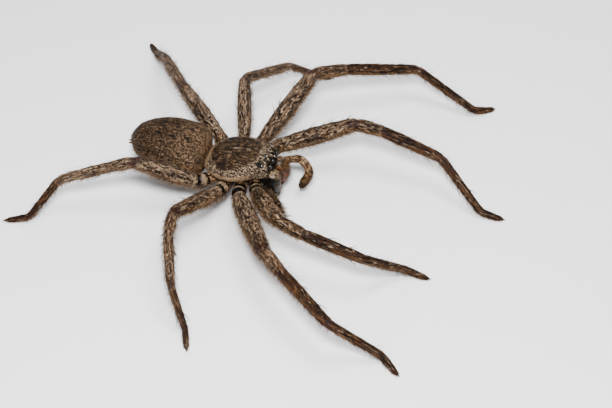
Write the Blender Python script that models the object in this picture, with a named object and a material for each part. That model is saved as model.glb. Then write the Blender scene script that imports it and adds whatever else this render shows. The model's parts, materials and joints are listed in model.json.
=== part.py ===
"""A huntsman spider standing on the floor, at life size, as a still display model.

Run it with blender --background --python part.py, or from the text editor. Lengths are metres, written as
millimetres times MM. The spider faces -Y, its left side is towards +X, and its feet stand on z = 0 with the
origin under the middle of its span.

Two frames are used. Body pieces are modelled in the body frame (+Y forward, +X to the spider's right, z = 0
on the underside of the sternum), which an empty lifts and tips nose up. Legs are modelled where they stand.
"""

import bisect
import math
import random
from dataclasses import dataclass

import bmesh
import bpy
import numpy
from mathutils import Euler, Matrix, Vector

MM = 0.001
GAP = 0.3 * MM

# How the body stands over the floor.
STERNUM_HEIGHT = 3.57 * MM
NOSE_UP = 0.05

# Carapace: stations along the body, from the rear margin forward to the face.
CARAPACE_REAR = -7.0
CARAPACE_FRONT = 7.0
CARAPACE_RINGS = 24
CARAPACE_TOP_POINTS = 21
CARAPACE_HALF_WIDTH = (
    (-7.0, 3.2), (-6.0, 4.4), (-4.0, 5.9), (-1.0, 6.6), (1.5, 6.2), (3.5, 5.2), (5.2, 4.5), (7.0, 3.9),
)
CARAPACE_TOP = (
    (-7.0, 5.2), (-5.5, 6.3), (-2.5, 7.2), (0.5, 7.6), (3.0, 7.8), (5.3, 7.7), (6.5, 7.1), (7.0, 6.5),
)
CARAPACE_ROUNDNESS = ((-7.0, 2.0), (0.0, 2.0), (4.0, 2.5), (7.0, 2.8))
MARGIN_HEIGHT = 4.6 * MM
LIP = 0.28 * MM
FACE_BOW = 0.6 * MM

# Core: the body under the carapace, whose walls the coxae meet.
CORE_REAR = -5.5
CORE_BOTTOM = 1.5 * MM
CORE_HALF_WIDTH = (
    (-5.5, 1.2), (-4.7, 1.7), (-3.7, 2.4), (-2.5, 2.85), (-1.3, 3.0), (1.1, 3.0),
    (2.4, 2.85), (3.4, 2.6), (4.4, 2.2), (5.0, 2.3), (5.8, 3.05), (7.0, 3.2),
)

# Sternum with the labium in front of it.
STERNUM_THICKNESS = 1.2 * MM
STERNUM_HALF_WIDTH = (
    (-4.9, 0.5), (-3.7, 1.7), (-1.5, 2.6), (1.0, 2.8), (3.0, 2.5), (4.2, 1.7),
    (4.6, 1.15), (5.5, 1.0), (6.1, 0.6),
)

# The sternum's section, as fractions of its half width and its thickness.
STERNUM_SECTION = ((-1, 0.45), (-0.85, 1), (0, 1), (0.85, 1), (1, 0.45), (0.7, 0.1), (0, 0), (-0.7, 0.1))
STERNUM_RINGS = 12

# The pit in the carapace, and its grooves: (depth, half width, place on the midline, slope, width that
# each takes to reach its depth).
FOVEA_DEPTH = 0.45
FOVEA_HALF_WIDTH = 0.4
FOVEA_HALF_LENGTH = 0.8
FOVEA_PLACE = -2.3
GROOVES = ((0.26, 0.7, -1.6, 0.95, 1.4), (0.1, 0.6, -2.2, 0.2, 1.5), (0.1, 0.6, -3.1, -0.55, 1.5))
BOW_START = 3.0

# Abdomen: (place along the body, half width, middle height, half height).
ABDOMEN = (
    (-7.4, 3.0, 4.1, 2.0), (-7.9, 4.7, 4.4, 3.0), (-8.9, 5.8, 4.7, 3.7), (-10.6, 6.5, 4.9, 4.15),
    (-13.0, 6.75, 5.0, 4.35), (-16.0, 6.65, 5.1, 4.3), (-19.0, 6.05, 5.1, 4.0), (-21.4, 4.95, 5.0, 3.35),
    (-23.1, 3.4, 4.9, 2.5), (-24.0, 1.8, 4.8, 1.5),
)
ABDOMEN_SIDES = 20
ABDOMEN_RINGS = 16
ABDOMEN_SWING = 0.11

PEDICEL_RADIUS = 0.75 * MM
PEDICEL_HEIGHT = 2.95 * MM

# Eyes: name, (side, forward, up) of the lens's middle, radius. The side is mirrored.
EYES = (
    ("front_middle", (0.72, 6.88, 6.4), 0.42),
    ("front_side", (2.15, 6.75, 6.0), 0.46),
    ("rear_middle", (1.1, 5.5, 7.47), 0.34),
    ("rear_side", (3.2, 5.4, 6.75), 0.42),
)
EYE_SOCKET_GAP = 0.25 * MM

# Chelicerae: places down the middle of the spider's right one, and (across, through) radii there.
CHELICERA_PATH = (
    (2.03, 7.3, 3.1), (2.05, 7.75, 3.0), (2.07, 8.2, 2.45),
    (2.05, 8.42, 1.6), (2.0, 8.45, 0.8), (1.92, 8.35, 0.05),
)
CHELICERA_RADII = ((1.6, 1.5), (1.75, 1.62), (1.85, 1.62), (1.82, 1.5), (1.62, 1.3), (1.25, 1.0))
FANG_PATH = ((2.45, 8.4, -0.62), (2.15, 8.3, -1.0), (1.6, 8.15, -1.22), (0.95, 7.95, -1.2), (0.4, 7.75, -1.0))
FANG_RADII = (0.52, 0.45, 0.35, 0.22, 0.08)

# Pedipalps: the endite beside the labium, then the limb's joints, in the body frame on the right side.
ENDITE_PATH = ((1.75, 7.0, 0.72), (2.2, 6.3, 0.72), (2.7, 5.5, 0.78), (3.1, 4.9, 0.85))
ENDITE_RADII = ((0.4, 0.4), (0.72, 0.6), (0.72, 0.6), (0.4, 0.4))
PALP_ROOT = ((2.5, 6.0, 0.8), (3.9, 6.3, 0.85))
PALP_BEYOND = {
    "l": ((4.95, 7.5, 1.95), (4.45, 10.9, 3.4), (3.6, 12.8, 2.6), (3.1, 13.3, 0.8), (1.9, 11.9, -1.5)),
    "r": ((4.9, 7.2, 1.5), (4.7, 8.8, -1.7), (4.0, 7.6, -2.55), (3.1, 6.1, -2.3), (2.1, 3.4, -1.7)),
}
PALP_SETBACKS = (0.5, 0.6, 0.8, 0.8, 0.7)
PALP_PROFILES = (
    ((0.0, 0.5), (1.0, 0.62)),
    ((0.0, 0.64), (1.0, 0.72)),
    ((0.0, 0.72), (0.3, 0.78), (1.0, 0.88)),
    ((0.0, 0.86), (0.5, 0.92), (1.0, 0.86)),
    ((0.0, 0.86), (0.6, 0.95), (1.0, 0.95)),
    ((0.0, 0.95), (0.35, 1.02), (0.75, 1.0), (1.0, 0.72)),
)

# Spinnerets: (side, down) of each root on the base disc, length and radius.
SPINNERET_BASE_RADIUS = 1.0 * MM
SPINNERET_ROOTS = ((0.42, 0.38, 1.0, 0.36), (0.5, -0.25, 0.85, 0.32), (0.16, 0.05, 0.65, 0.22))
SPINNERET_DROP = 0.8
SPINNERET_BASE_LENGTH = 0.5 * MM
SPINNERET_BASE_TAPER = 0.85
SPINNERET_SUNK = 0.15
SPINNERET_SPLAY = 0.35
SPINNERET_DROOP = 0.1
SPINNERET_TAPER = 0.45

# Legs: coxa root and hip of the four legs of one side, in the body frame.
COXA_ROOTS = ((2.95, 3.5, 2.3), (3.3, 1.15, 2.3), (3.3, -1.4, 2.3), (2.7, -3.9, 2.3))
HIPS = ((7.12, 5.26, 3.31), (8.6, 1.85, 3.22), (8.17, -2.18, 3.05), (7.15, -7.06, 3.5))
LEG_GIRTHS = (1.0, 1.0, 0.84, 0.9)
LEG_SIDES = 10
RING_SPACING = 5.0 * MM
SHARP_BEND = math.radians(24)

# Radius of each length of a leg at fractions along it.
COXA_PROFILE = ((0.0, 0.98), (0.35, 1.18), (0.6, 1.15), (0.74, 1.12), (0.88, 1.5), (1.0, 1.42))
FEMUR_PROFILE = ((0.0, 1.42), (0.15, 1.62), (0.45, 1.85), (0.75, 1.7), (0.93, 1.48), (1.0, 1.4))
PATELLA_PROFILE = ((0.0, 1.32), (0.5, 1.4), (1.0, 1.24))
TIBIA_PROFILE = ((0.0, 1.22), (0.3, 1.28), (0.8, 1.12), (1.0, 1.04))
METATARSUS_PROFILE = ((0.0, 1.0), (0.5, 0.9), (1.0, 0.8))
TARSUS_PROFILE = ((0.0, 0.8), (0.5, 0.78), (0.85, 0.7), (1.0, 0.42))
LEG_HEIGHT_TO_WIDTH = 1.06
TOE_LENGTH = 1.3 * MM
TOE_HEIGHT = 0.42 * MM

# Spines: (fraction along, degrees round from the level side) on each length that has them.
FEMUR_SPINES = (
    (0.3, 92), (0.54, 86), (0.78, 94), (0.4, 38), (0.66, 44), (0.86, 40), (0.42, 142), (0.68, 138),
)
TIBIA_SPINES = (
    (0.2, -58), (0.2, -122), (0.48, -56), (0.48, -124), (0.76, -58), (0.76, -122),
    (0.32, 18), (0.7, 22), (0.34, 160), (0.68, 158),
)
METATARSUS_SPINES = ((0.14, -55), (0.14, -125), (0.46, -56), (0.46, -124), (0.62, 12), (0.6, 168))
SPINE_LENGTHS = {"femur": 2.1 * MM, "tibia": 2.4 * MM, "foot": 2.0 * MM}
SPINE_ROOT_RADIUS = 0.25 * MM
SPINE_TIP_RADIUS = 0.06 * MM
SPINE_SUNK = 0.4 * MM
SPINE_LEAN = math.radians(27)
ERECT_SPINES = ((0.3, 118), (0.37, 104))
ERECT_SPINE_LEG = "l2"
ERECT_LEAN = math.radians(62)
ERECT_LENGTH = 2.6 * MM
SPINE_SIDES = 5
SPINE_SEED = 11
SPINE_CLEARANCE = 0.35 * MM
CLAW_LENGTH = 0.8 * MM
CLAW_SPREAD = 0.22 * MM
CLAW_ROOT_RADIUS = 0.2 * MM
CLAW_RAISE = 0.15 * MM
CLAW_SPLAY = 0.5

# How far from each joint the bend begins: hip, knee, patella end, tibia end, heel, toe.
BEND_SETBACKS = (1.2, 1.7, 1.2, 1.5, 1.0, 0.5)


@dataclass(frozen=True)
class LegPose:
    """Where a leg's joints stand beyond the hip, in millimetres."""

    knee: tuple
    patella_end: tuple
    tibia_end: tuple
    heel: tuple
    tip: tuple


POSES = {
    "l1": LegPose(
        knee=(13.6, -20.2, 11.5), patella_end=(13.5, -25.9, 10.9), tibia_end=(12.3, -38.5, 7.8),
        heel=(5.9, -48.5, 1.3), tip=(5.9, -52.9, 0.42),
    ),
    "l2": LegPose(
        knee=(26.8, -7.3, 11.5), patella_end=(30.9, -13.6, 10.8), tibia_end=(38.5, -27.2, 7.9),
        heel=(36.2, -40.7, 1.4), tip=(38.9, -44.3, 0.42),
    ),
    "l3": LegPose(
        knee=(19.9, 5.9, 12.5), patella_end=(24.4, 4.4, 10.4), tibia_end=(33.8, 0.2, 6.4),
        heel=(38.6, -3.9, 1.3), tip=(39.3, -7.6, 0.42),
    ),
    "l4": LegPose(
        knee=(15.4, 18.2, 11.3), patella_end=(19.6, 21.2, 10.5), tibia_end=(28.2, 26.9, 7.2),
        heel=(35.6, 31.5, 1.4), tip=(39.2, 34.5, 0.42),
    ),
    "r1": LegPose(
        knee=(-19.7, -13.7, 13.1), patella_end=(-20.3, -18.7, 11.5), tibia_end=(-21.2, -31.0, 9.1),
        heel=(-14.1, -38.0, 1.2), tip=(-14.4, -42.2, 0.42),
    ),
    "r2": LegPose(
        knee=(-24.9, -12.1, 9.8), patella_end=(-29.8, -17.0, 10.2), tibia_end=(-39.3, -29.0, 9.4),
        heel=(-36.9, -38.8, 1.2), tip=(-39.8, -42.4, 0.42),
    ),
    "r3": LegPose(
        knee=(-20.8, 7.7, 10.7), patella_end=(-26.4, 6.7, 10.2), tibia_end=(-36.5, 2.7, 7.4),
        heel=(-41.1, -1.5, 1.3), tip=(-44.7, -2.9, 0.42),
    ),
    "r4": LegPose(
        knee=(-10.7, 19.3, 12.3), patella_end=(-11.9, 23.9, 10.8), tibia_end=(-15.3, 33.9, 7.8),
        heel=(-20.9, 38.8, 1.3), tip=(-22.3, 43.3, 0.42),
    ),
}

UP = Vector((0, 0, 1))
SIDEWAYS = Vector((1, 0, 0))

# Colour and roughness of each finish.
FINISHES = {
    "carapace": ((0.16, 0.12, 0.085), 0.6),
    "abdomen": ((0.27, 0.19, 0.12), 0.75),
    "legs": ((0.2, 0.15, 0.11), 0.7),
    "underside": ((0.17, 0.11, 0.07), 0.65),
    "chelicerae": ((0.2, 0.12, 0.08), 0.5),
    "fangs": ((0.02, 0.012, 0.01), 0.25),
    "eyes": ((0.01, 0.01, 0.012), 0.08),
}


def millimetres(place):
    return Vector(place) * MM


def mirrored(place, sign):
    return Vector((place[0] * sign, place[1], place[2])) * MM


def smooth_curve(stations, place):
    """Value at a place of a smooth curve through (place, value) stations."""
    places, values = zip(*stations)
    slopes = numpy.gradient(values, places)
    i = min(max(bisect.bisect_right(places, place) - 1, 0), len(places) - 2)
    span = places[i + 1] - places[i]
    t = (place - places[i]) / span
    return (
        (2 * t**3 - 3 * t**2 + 1) * values[i]
        + (t**3 - 2 * t**2 + t) * span * slopes[i]
        + (3 * t**2 - 2 * t**3) * values[i + 1]
        + (t**3 - t**2) * span * slopes[i + 1]
    )


def clear_scene():
    for obj in list(bpy.data.objects):
        bpy.data.objects.remove(obj, do_unlink=True)


def new_collection(name):
    collection = bpy.data.collections.new(name)
    bpy.context.scene.collection.children.link(collection)
    return collection


def make_materials():
    materials = {}
    for name, (colour, roughness) in FINISHES.items():
        material = bpy.data.materials.new(name)
        material.use_nodes = True
        shader = material.node_tree.nodes["Principled BSDF"]
        shader.inputs["Base Color"].default_value = (*colour, 1)
        shader.inputs["Roughness"].default_value = roughness
        shader.inputs["Metallic"].default_value = 0.0
        materials[name] = material
    return materials


def loft(rings):
    """Closed mesh through rings of equal point counts, with a fan to the middle of each end."""
    build = bmesh.new()
    rows = [[build.verts.new(point) for point in ring] for ring in rings]
    for near, far in zip(rows, rows[1:]):
        for k in range(len(near)):
            build.faces.new((near[k - 1], near[k], far[k], far[k - 1]))
    for row in (rows[0], rows[-1]):
        middle = build.verts.new(sum((vertex.co for vertex in row), Vector()) / len(row))
        for k in range(len(row)):
            build.faces.new((row[k - 1], row[k], middle))
    bmesh.ops.recalc_face_normals(build, faces=build.faces)
    mesh = bpy.data.meshes.new("loft")
    build.to_mesh(mesh)
    build.free()
    return mesh


def add_piece(name, mesh, collection, parent, material):
    """One named piece in its frame, shaded smooth but for its sharp edges."""
    mesh.name = name
    mesh.materials.clear()
    mesh.materials.append(material)
    mesh.shade_smooth()
    mesh.set_sharp_from_angle(angle=math.radians(40))
    piece = bpy.data.objects.new(name, mesh)
    collection.objects.link(piece)
    piece.parent = parent
    return piece


def add_helper(mesh, collection, parent=None):
    """A shape that a Boolean cuts away or fuses, which isn't a piece itself."""
    helper = bpy.data.objects.new("helper", mesh)
    collection.objects.link(helper)
    helper.parent = parent
    helper.hide_render = True
    helper.display_type = "WIRE"


def ball(centre, radius, divisions):
    build = bmesh.new()
    place = Matrix.Translation(centre)
    bmesh.ops.create_icosphere(build, subdivisions=divisions, radius=radius, matrix=place)
    mesh = bpy.data.meshes.new("ball")
    build.to_mesh(mesh)
    build.free()
    return mesh


def cone(root, tip, root_radius, tip_radius, sides):
    build = bmesh.new()
    axis = tip - root
    turn = axis.to_track_quat("Z", "Y").to_matrix().to_4x4()
    bmesh.ops.create_cone(
        build, cap_ends=True, segments=sides, radius1=root_radius, radius2=tip_radius, depth=axis.length,
        matrix=Matrix.Translation((root + tip) / 2) @ turn,
    )
    mesh = bpy.data.meshes.new("cone")
    build.to_mesh(mesh)
    build.free()
    return mesh


def boolean(piece, operation, cutters):
    """Applies one Boolean with a whole collection, then empties it."""
    modifier = piece.modifiers.new(operation.lower(), "BOOLEAN")
    modifier.operation = operation
    modifier.operand_type = "COLLECTION"
    modifier.collection = cutters
    modifier.solver = "EXACT"
    bpy.context.view_layer.update()
    graph = bpy.context.evaluated_depsgraph_get()
    made = bpy.data.meshes.new_from_object(piece.evaluated_get(graph))
    made.name = piece.name
    piece.modifiers.clear()
    piece.data = made
    for cutter in list(cutters.objects):
        bpy.data.objects.remove(cutter, do_unlink=True)
    keep_largest_surface(made)


def keep_largest_surface(mesh):
    """Drops every closed surface but the one with the largest box."""
    build = bmesh.new()
    build.from_mesh(mesh)
    left = set(build.verts)
    surfaces = []
    while left:
        found = {left.pop()}
        reached = list(found)
        while reached:
            vertex = reached.pop()
            for edge in vertex.link_edges:
                other = edge.other_vert(vertex)
                if other in left:
                    left.remove(other)
                    found.add(other)
                    reached.append(other)
        surfaces.append(found)
    largest = max(surfaces, key=lambda points: box_size(points))
    loose = [vertex for points in surfaces if points is not largest for vertex in points]
    bmesh.ops.delete(build, geom=loose, context="VERTS")
    build.to_mesh(mesh)
    build.free()


def box_size(vertices):
    corners = numpy.array([vertex.co for vertex in vertices])
    return float(numpy.ptp(corners, axis=0).sum())


def ring_around(centre, tangent, width, height, up, sides=LEG_SIDES):
    """Ring of points square to a tangent, with its height along the given up direction."""
    side = tangent.cross(up).normalized()
    top = side.cross(tangent).normalized()
    turns = (2 * math.pi * k / sides for k in range(sides))
    return [centre + side * (width * math.cos(turn)) + top * (height * math.sin(turn)) for turn in turns]


def tangents_along(points):
    ends = [points[0], *points, points[-1]]
    return [(after - before).normalized() for before, after in zip(ends, ends[2:])]


def bell(distance, width):
    """Smooth hump of height 1 about a distance of 0."""
    return math.exp(-((distance / width) ** 2))


def carapace_groove(x, y):
    """Depth of the fovea, the cervical grooves and the thoracic grooves at a place on the carapace."""
    wide = abs(x)
    depth = FOVEA_DEPTH * bell(x, FOVEA_HALF_WIDTH) * bell(y - FOVEA_PLACE, FOVEA_HALF_LENGTH)
    for groove_depth, half_width, start, slope, clear in GROOVES:
        depth += groove_depth * bell(y - start - slope * wide, half_width) * min(wide / clear, 1)
    return depth * MM


def carapace_ring(y):
    """Section of the carapace and its core across the body at one place."""
    half = smooth_curve(CARAPACE_HALF_WIDTH, y) * MM
    top = smooth_curve(CARAPACE_TOP, y) * MM
    power = 2 / smooth_curve(CARAPACE_ROUNDNESS, y)
    under = MARGIN_HEIGHT - LIP
    core_half = smooth_curve(CORE_HALF_WIDTH, max(y, CORE_REAR)) * MM
    bottom = CORE_BOTTOM if y >= CORE_REAR else under - 0.02 * MM
    bow = FACE_BOW * max((y - BOW_START) / (CARAPACE_FRONT - BOW_START), 0) ** 2
    outline = []
    for k in range(CARAPACE_TOP_POINTS):
        turn = math.pi * k / (CARAPACE_TOP_POINTS - 1)
        x = half * math.copysign(abs(math.cos(turn)) ** power, math.cos(turn))
        z = MARGIN_HEIGHT + (top - MARGIN_HEIGHT) * math.sin(turn) ** power
        outline.append((x, z - carapace_groove(x / MM, y) * math.sin(turn)))
    inner = min(core_half, half - 0.7 * MM)
    left_under = [
        (-half + 0.12 * MM, under),
        (-inner - 0.2 * MM, under),
        (-inner, min(under - 0.01 * MM, max(bottom, under - 0.3 * MM))),
        (-inner, bottom + (under - bottom) * 0.2),
        (-inner + 0.3 * MM, bottom),
    ]
    outline += left_under + [(-x, z) for x, z in reversed(left_under)]
    return [Vector((x, y * MM - bow * (x / half) ** 2, z)) for x, z in outline]


def make_carapace(collection, cutters, body, materials):
    places = list(numpy.linspace(CARAPACE_REAR, CARAPACE_FRONT, CARAPACE_RINGS))
    places += [CORE_REAR - 0.06, CORE_REAR, CARAPACE_FRONT - 0.25]
    mesh = loft([carapace_ring(float(y)) for y in sorted(places)])
    carapace = add_piece("carapace", mesh, collection, body, materials["carapace"])
    for _, place, radius in EYES:
        for sign in (1, -1):
            socket = ball(mirrored(place, sign), radius * MM + EYE_SOCKET_GAP, 2)
            add_helper(socket, cutters, body)
    boolean(carapace, "DIFFERENCE", cutters)
    carapace.data.shade_smooth()
    carapace.data.set_sharp_from_angle(angle=math.radians(40))


def make_eyes(collection, body, materials):
    for name, place, radius in EYES:
        for side, sign in (("r", 1), ("l", -1)):
            lens = ball(mirrored(place, sign), radius * MM, 2)
            add_piece(f"eye_{name}_{side}", lens, collection, body, materials["eyes"])


def make_sternum(collection, body, materials):
    first, last = STERNUM_HALF_WIDTH[0][0], STERNUM_HALF_WIDTH[-1][0]
    rings = []
    for y in numpy.linspace(first, last, STERNUM_RINGS):
        half = smooth_curve(STERNUM_HALF_WIDTH, y) * MM
        rings.append([Vector((half * x, y * MM, STERNUM_THICKNESS * z)) for x, z in STERNUM_SECTION])
    add_piece("sternum", loft(rings), collection, body, materials["underside"])


def swung(place):
    """A place on the abdomen's midline, after the abdomen swings to the spider's left about its front."""
    behind = ABDOMEN[0][0] * MM - place.y
    return place - Vector((behind * ABDOMEN_SWING, 0, 0))


def abdomen_places():
    """Places along the abdomen, closer together at both ends, where it narrows fast."""
    turns = numpy.linspace(0, math.pi, ABDOMEN_RINGS)
    return ABDOMEN[0][0] + (ABDOMEN[-1][0] - ABDOMEN[0][0]) * (0.5 - 0.5 * numpy.cos(turns))


def make_abdomen(collection, body, materials):
    rings = []
    for y in abdomen_places():
        half, middle, height = (
            smooth_curve([(row[0], row[column]) for row in reversed(ABDOMEN)], y) * MM for column in (1, 2, 3)
        )
        centre = Vector((0, y * MM, middle))
        rings.append(ring_around(swung(centre), Vector((0, -1, 0)), half, height, UP, ABDOMEN_SIDES))
    add_piece("abdomen", loft(rings), collection, body, materials["abdomen"])


def make_pedicel(collection, body, materials):
    front = Vector((0, (CORE_REAR - 0.06) * MM - GAP, PEDICEL_HEIGHT))
    rear = Vector((0, ABDOMEN[0][0] * MM + GAP, PEDICEL_HEIGHT + 0.2 * MM))
    mesh = cone(front, rear, PEDICEL_RADIUS, PEDICEL_RADIUS, 12)
    add_piece("pedicel", mesh, collection, body, materials["underside"])


def make_spinnerets(collection, fused, body, materials):
    rear, _, middle, _ = ABDOMEN[-1]
    front = swung(Vector((0, rear * MM, (middle - SPINNERET_DROP) * MM))) - Vector((0, GAP, 0))
    back = front - Vector((0, SPINNERET_BASE_LENGTH, 0))
    base = cone(front, back, SPINNERET_BASE_RADIUS, SPINNERET_BASE_RADIUS * SPINNERET_BASE_TAPER, 12)
    spinnerets = add_piece("spinnerets", base, collection, body, materials["abdomen"])
    for side, down, length, radius in SPINNERET_ROOTS:
        for sign in (1, -1):
            root = front + Vector((side * sign, -SPINNERET_SUNK, -down)) * MM
            splay = Vector((side * sign, 0, -down)) * SPINNERET_SPLAY
            tip = root + (splay - Vector((0, length, SPINNERET_DROOP))) * MM
            add_helper(cone(root, tip, radius * MM, radius * SPINNERET_TAPER * MM, 7), fused, body)
    boolean(spinnerets, "UNION", fused)


def bent_tube(path, radii, sign, sides):
    """Tube through places of the body frame, on the side that the sign gives."""
    points = [mirrored(place, sign) for place in path]
    pairs = [(radius, radius) if isinstance(radius, float) else radius for radius in radii]
    return loft(
        [
            ring_around(point, tangent, through * MM, across * MM, SIDEWAYS, sides)
            for point, tangent, (across, through) in zip(points, tangents_along(points), pairs)
        ]
    )


def make_chelicerae(collection, body, materials):
    for side, sign in (("r", 1), ("l", -1)):
        points = [mirrored(place, sign) for place in CHELICERA_PATH]
        tangents = tangents_along(points)
        tangents[0] = Vector((0, 1, 0))
        rings = [
            ring_around(point, tangent, through * MM, across * MM, SIDEWAYS, 14)
            for point, tangent, (across, through) in zip(points, tangents, CHELICERA_RADII)
        ]
        add_piece(f"chelicera_{side}", loft(rings), collection, body, materials["chelicerae"])
        fang = bent_tube(FANG_PATH, FANG_RADII, sign, 8)
        add_piece(f"fang_{side}", fang, collection, body, materials["fangs"])


def limb_stretches(joints, setbacks):
    """Rings' (middle, tangent) for each length of a limb between joints, which are turned in arcs."""

    def arc(i, t):
        joint = joints[i]
        start = joint + (joints[i - 1] - joint).normalized() * setbacks[i - 1]
        end = joint + (joints[i + 1] - joint).normalized() * setbacks[i - 1]
        middle = start * (1 - t) ** 2 + joint * (2 * t * (1 - t)) + end * t**2
        return middle, ((joint - start) * (1 - t) + (end - joint) * t).normalized()

    stretches = []
    for i in range(len(joints) - 1):
        along = (joints[i + 1] - joints[i]).normalized()
        first = [(joints[0], along)]
        last = [(joints[-1], along)]
        if i > 0:
            first = [arc(i, t) for t in arc_steps(joints, i, (0.5, 0.75, 1.0))]
        if i < len(joints) - 2:
            last = [arc(i + 1, t) for t in arc_steps(joints, i + 1, (0.0, 0.25, 0.5))]
        start, end = first[-1][0], last[0][0]
        steps = max(round((end - start).length / RING_SPACING), 1)
        between = [(start.lerp(end, k / steps), along) for k in range(1, steps)]
        stretches.append(first + between + last)
    return stretches


def arc_steps(joints, i, steps):
    """The given steps round a joint, without the middle one where the bend is slight."""
    before = joints[i] - joints[i - 1]
    after = joints[i + 1] - joints[i]
    return steps if before.angle(after) > SHARP_BEND else (steps[0], steps[2])


def limb_rings(stretch, profile, girth, up, height_ratio=LEG_HEIGHT_TO_WIDTH):
    """Rings of one length of a limb, whose radius follows the profile along it."""
    middles = [middle for middle, _ in stretch]
    run = numpy.cumsum([0.0] + [(b - a).length for a, b in zip(middles, middles[1:])])
    places, radii = zip(*profile)
    rings = []
    for (middle, tangent), at in zip(stretch, run / run[-1]):
        radius = float(numpy.interp(at, places, radii)) * girth * MM
        rings.append(ring_around(middle, tangent, radius, radius * height_ratio, up))
    return rings


def parted(stretch, at_start, at_end):
    """The stretch with half the gap taken off the ends that meet another piece."""
    stretch = list(stretch)
    if at_start:
        middle, tangent = stretch[0]
        stretch[0] = (middle + tangent * GAP / 2, tangent)
    if at_end:
        middle, tangent = stretch[-1]
        stretch[-1] = (middle - tangent * GAP / 2, tangent)
    return stretch


def add_spines(stretch, profile, girth, places, length, fused, draw, rise=SPINE_LEAN):
    """Cones that lean towards the foot, with their roots sunk in one length of a leg."""
    middles = [middle for middle, _ in stretch]
    run = numpy.cumsum([0.0] + [(b - a).length for a, b in zip(middles, middles[1:])])
    run /= run[-1]
    for along, degrees in places:
        along += draw.uniform(-0.03, 0.03)
        middle = Vector([float(numpy.interp(along, run, [point[k] for point in middles])) for k in range(3)])
        _, tangent = stretch[int(numpy.searchsorted(run, along)) - 1]
        side = tangent.cross(UP).normalized()
        top = side.cross(tangent).normalized()
        turn = math.radians(degrees + draw.uniform(-8, 8))
        outward = side * math.cos(turn) + top * math.sin(turn)
        radius = float(numpy.interp(along, *zip(*profile))) * girth * MM
        reach = length * draw.uniform(0.8, 1.15)
        lean = outward * math.sin(rise) + tangent * math.cos(rise)
        tip = middle + outward * radius + lean * reach
        if tip.z > SPINE_CLEARANCE:
            root = middle + outward * (radius - SPINE_SUNK)
            add_helper(cone(root, tip, SPINE_ROOT_RADIUS, SPINE_TIP_RADIUS, SPINE_SIDES), fused)


def add_claws(tip, forward, fused):
    """The two claws at the end of a tarsus."""
    across = forward.cross(UP).normalized() * CLAW_SPREAD
    for side in (across, -across):
        root = tip - forward * SPINE_SUNK + side + UP * CLAW_RAISE
        end = root + forward * (CLAW_LENGTH + SPINE_SUNK) + side * CLAW_SPLAY
        add_helper(cone(root, end, CLAW_ROOT_RADIUS, SPINE_TIP_RADIUS, SPINE_SIDES), fused)


def make_leg(name, pose, number, stance, collection, fused, spider, materials):
    """Coxa with trochanter, femur, patella, tibia, and the foot of metatarsus and tarsus."""
    sign = -1 if name[0] == "l" else 1
    girth = LEG_GIRTHS[number]
    root = stance @ mirrored(COXA_ROOTS[number], sign)
    hip = stance @ mirrored(HIPS[number], sign)
    heel, tip = millimetres(pose.heel), millimetres(pose.tip)
    flat = (tip - heel) * Vector((1, 1, 0))
    toe = tip - flat.normalized() * TOE_LENGTH + UP * (TOE_HEIGHT - tip.z + 0.1 * MM)
    beyond = [millimetres(place) for place in (pose.knee, pose.patella_end, pose.tibia_end)]
    joints = [root, hip, *beyond, heel, toe, tip]
    stretches = limb_stretches(joints, [setback * MM for setback in BEND_SETBACKS])
    pieces = (
        ("coxa", COXA_PROFILE, 1.0, ()),
        ("femur", FEMUR_PROFILE, girth, FEMUR_SPINES),
        ("patella", PATELLA_PROFILE, girth, ()),
        ("tibia", TIBIA_PROFILE, girth, TIBIA_SPINES),
    )
    draw = random.Random(f"{SPINE_SEED}{name}")
    for stretch, (part, profile, thickness, spines) in zip(stretches, pieces):
        rings = limb_rings(parted(stretch, part != "coxa", True), profile, thickness, UP)
        length = add_piece(f"leg_{name}_{part}", loft(rings), collection, spider, materials["legs"])
        if part == "femur" and name == ERECT_SPINE_LEG:
            add_spines(stretch, profile, thickness, ERECT_SPINES, ERECT_LENGTH, fused, draw, ERECT_LEAN)
        if spines:
            add_spines(stretch, profile, thickness, spines, SPINE_LENGTHS[part], fused, draw)
            boolean(length, "UNION", fused)
    shin = limb_rings(parted(stretches[4], True, False), METATARSUS_PROFILE, girth, UP)
    sole = limb_rings(stretches[5][1:] + stretches[6][1:], TARSUS_PROFILE, girth, UP)
    rings = [[Vector((p.x, p.y, max(p.z, 0))) for p in ring] for ring in shin + sole]
    foot = add_piece(f"leg_{name}_foot", loft(rings), collection, spider, materials["legs"])
    add_spines(stretches[4], METATARSUS_PROFILE, girth, METATARSUS_SPINES, SPINE_LENGTHS["foot"], fused, draw)
    add_claws(tip, flat.normalized(), fused)
    boolean(foot, "UNION", fused)


def make_palps(collection, fused, body, materials):
    for side, sign in (("r", 1), ("l", -1)):
        joints = [mirrored(place, sign) for place in PALP_ROOT + PALP_BEYOND[side]]
        stretches = limb_stretches(joints, [setback * MM for setback in PALP_SETBACKS])
        rings = []
        for stretch, profile in zip(stretches, PALP_PROFILES):
            rings += limb_rings(stretch, profile, 1.0, SIDEWAYS, 1.0)[1 if rings else 0 :]
        palp = add_piece(f"pedipalp_{side}", loft(rings), collection, body, materials["legs"])
        add_helper(bent_tube(ENDITE_PATH, ENDITE_RADII, sign, 8), fused, body)
        boolean(palp, "UNION", fused)


def centre_on_origin(spider, collection):
    """Moves the spider so that its span is centred over the origin."""
    bpy.context.view_layer.update()
    pieces = [piece for piece in collection.objects if piece.type == "MESH"]
    corners = numpy.array(
        [piece.matrix_world @ vertex.co for piece in pieces for vertex in piece.data.vertices]
    )
    middle = (corners.min(axis=0) + corners.max(axis=0)) / 2
    spider.location = (-middle[0], -middle[1], 0)


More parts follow.
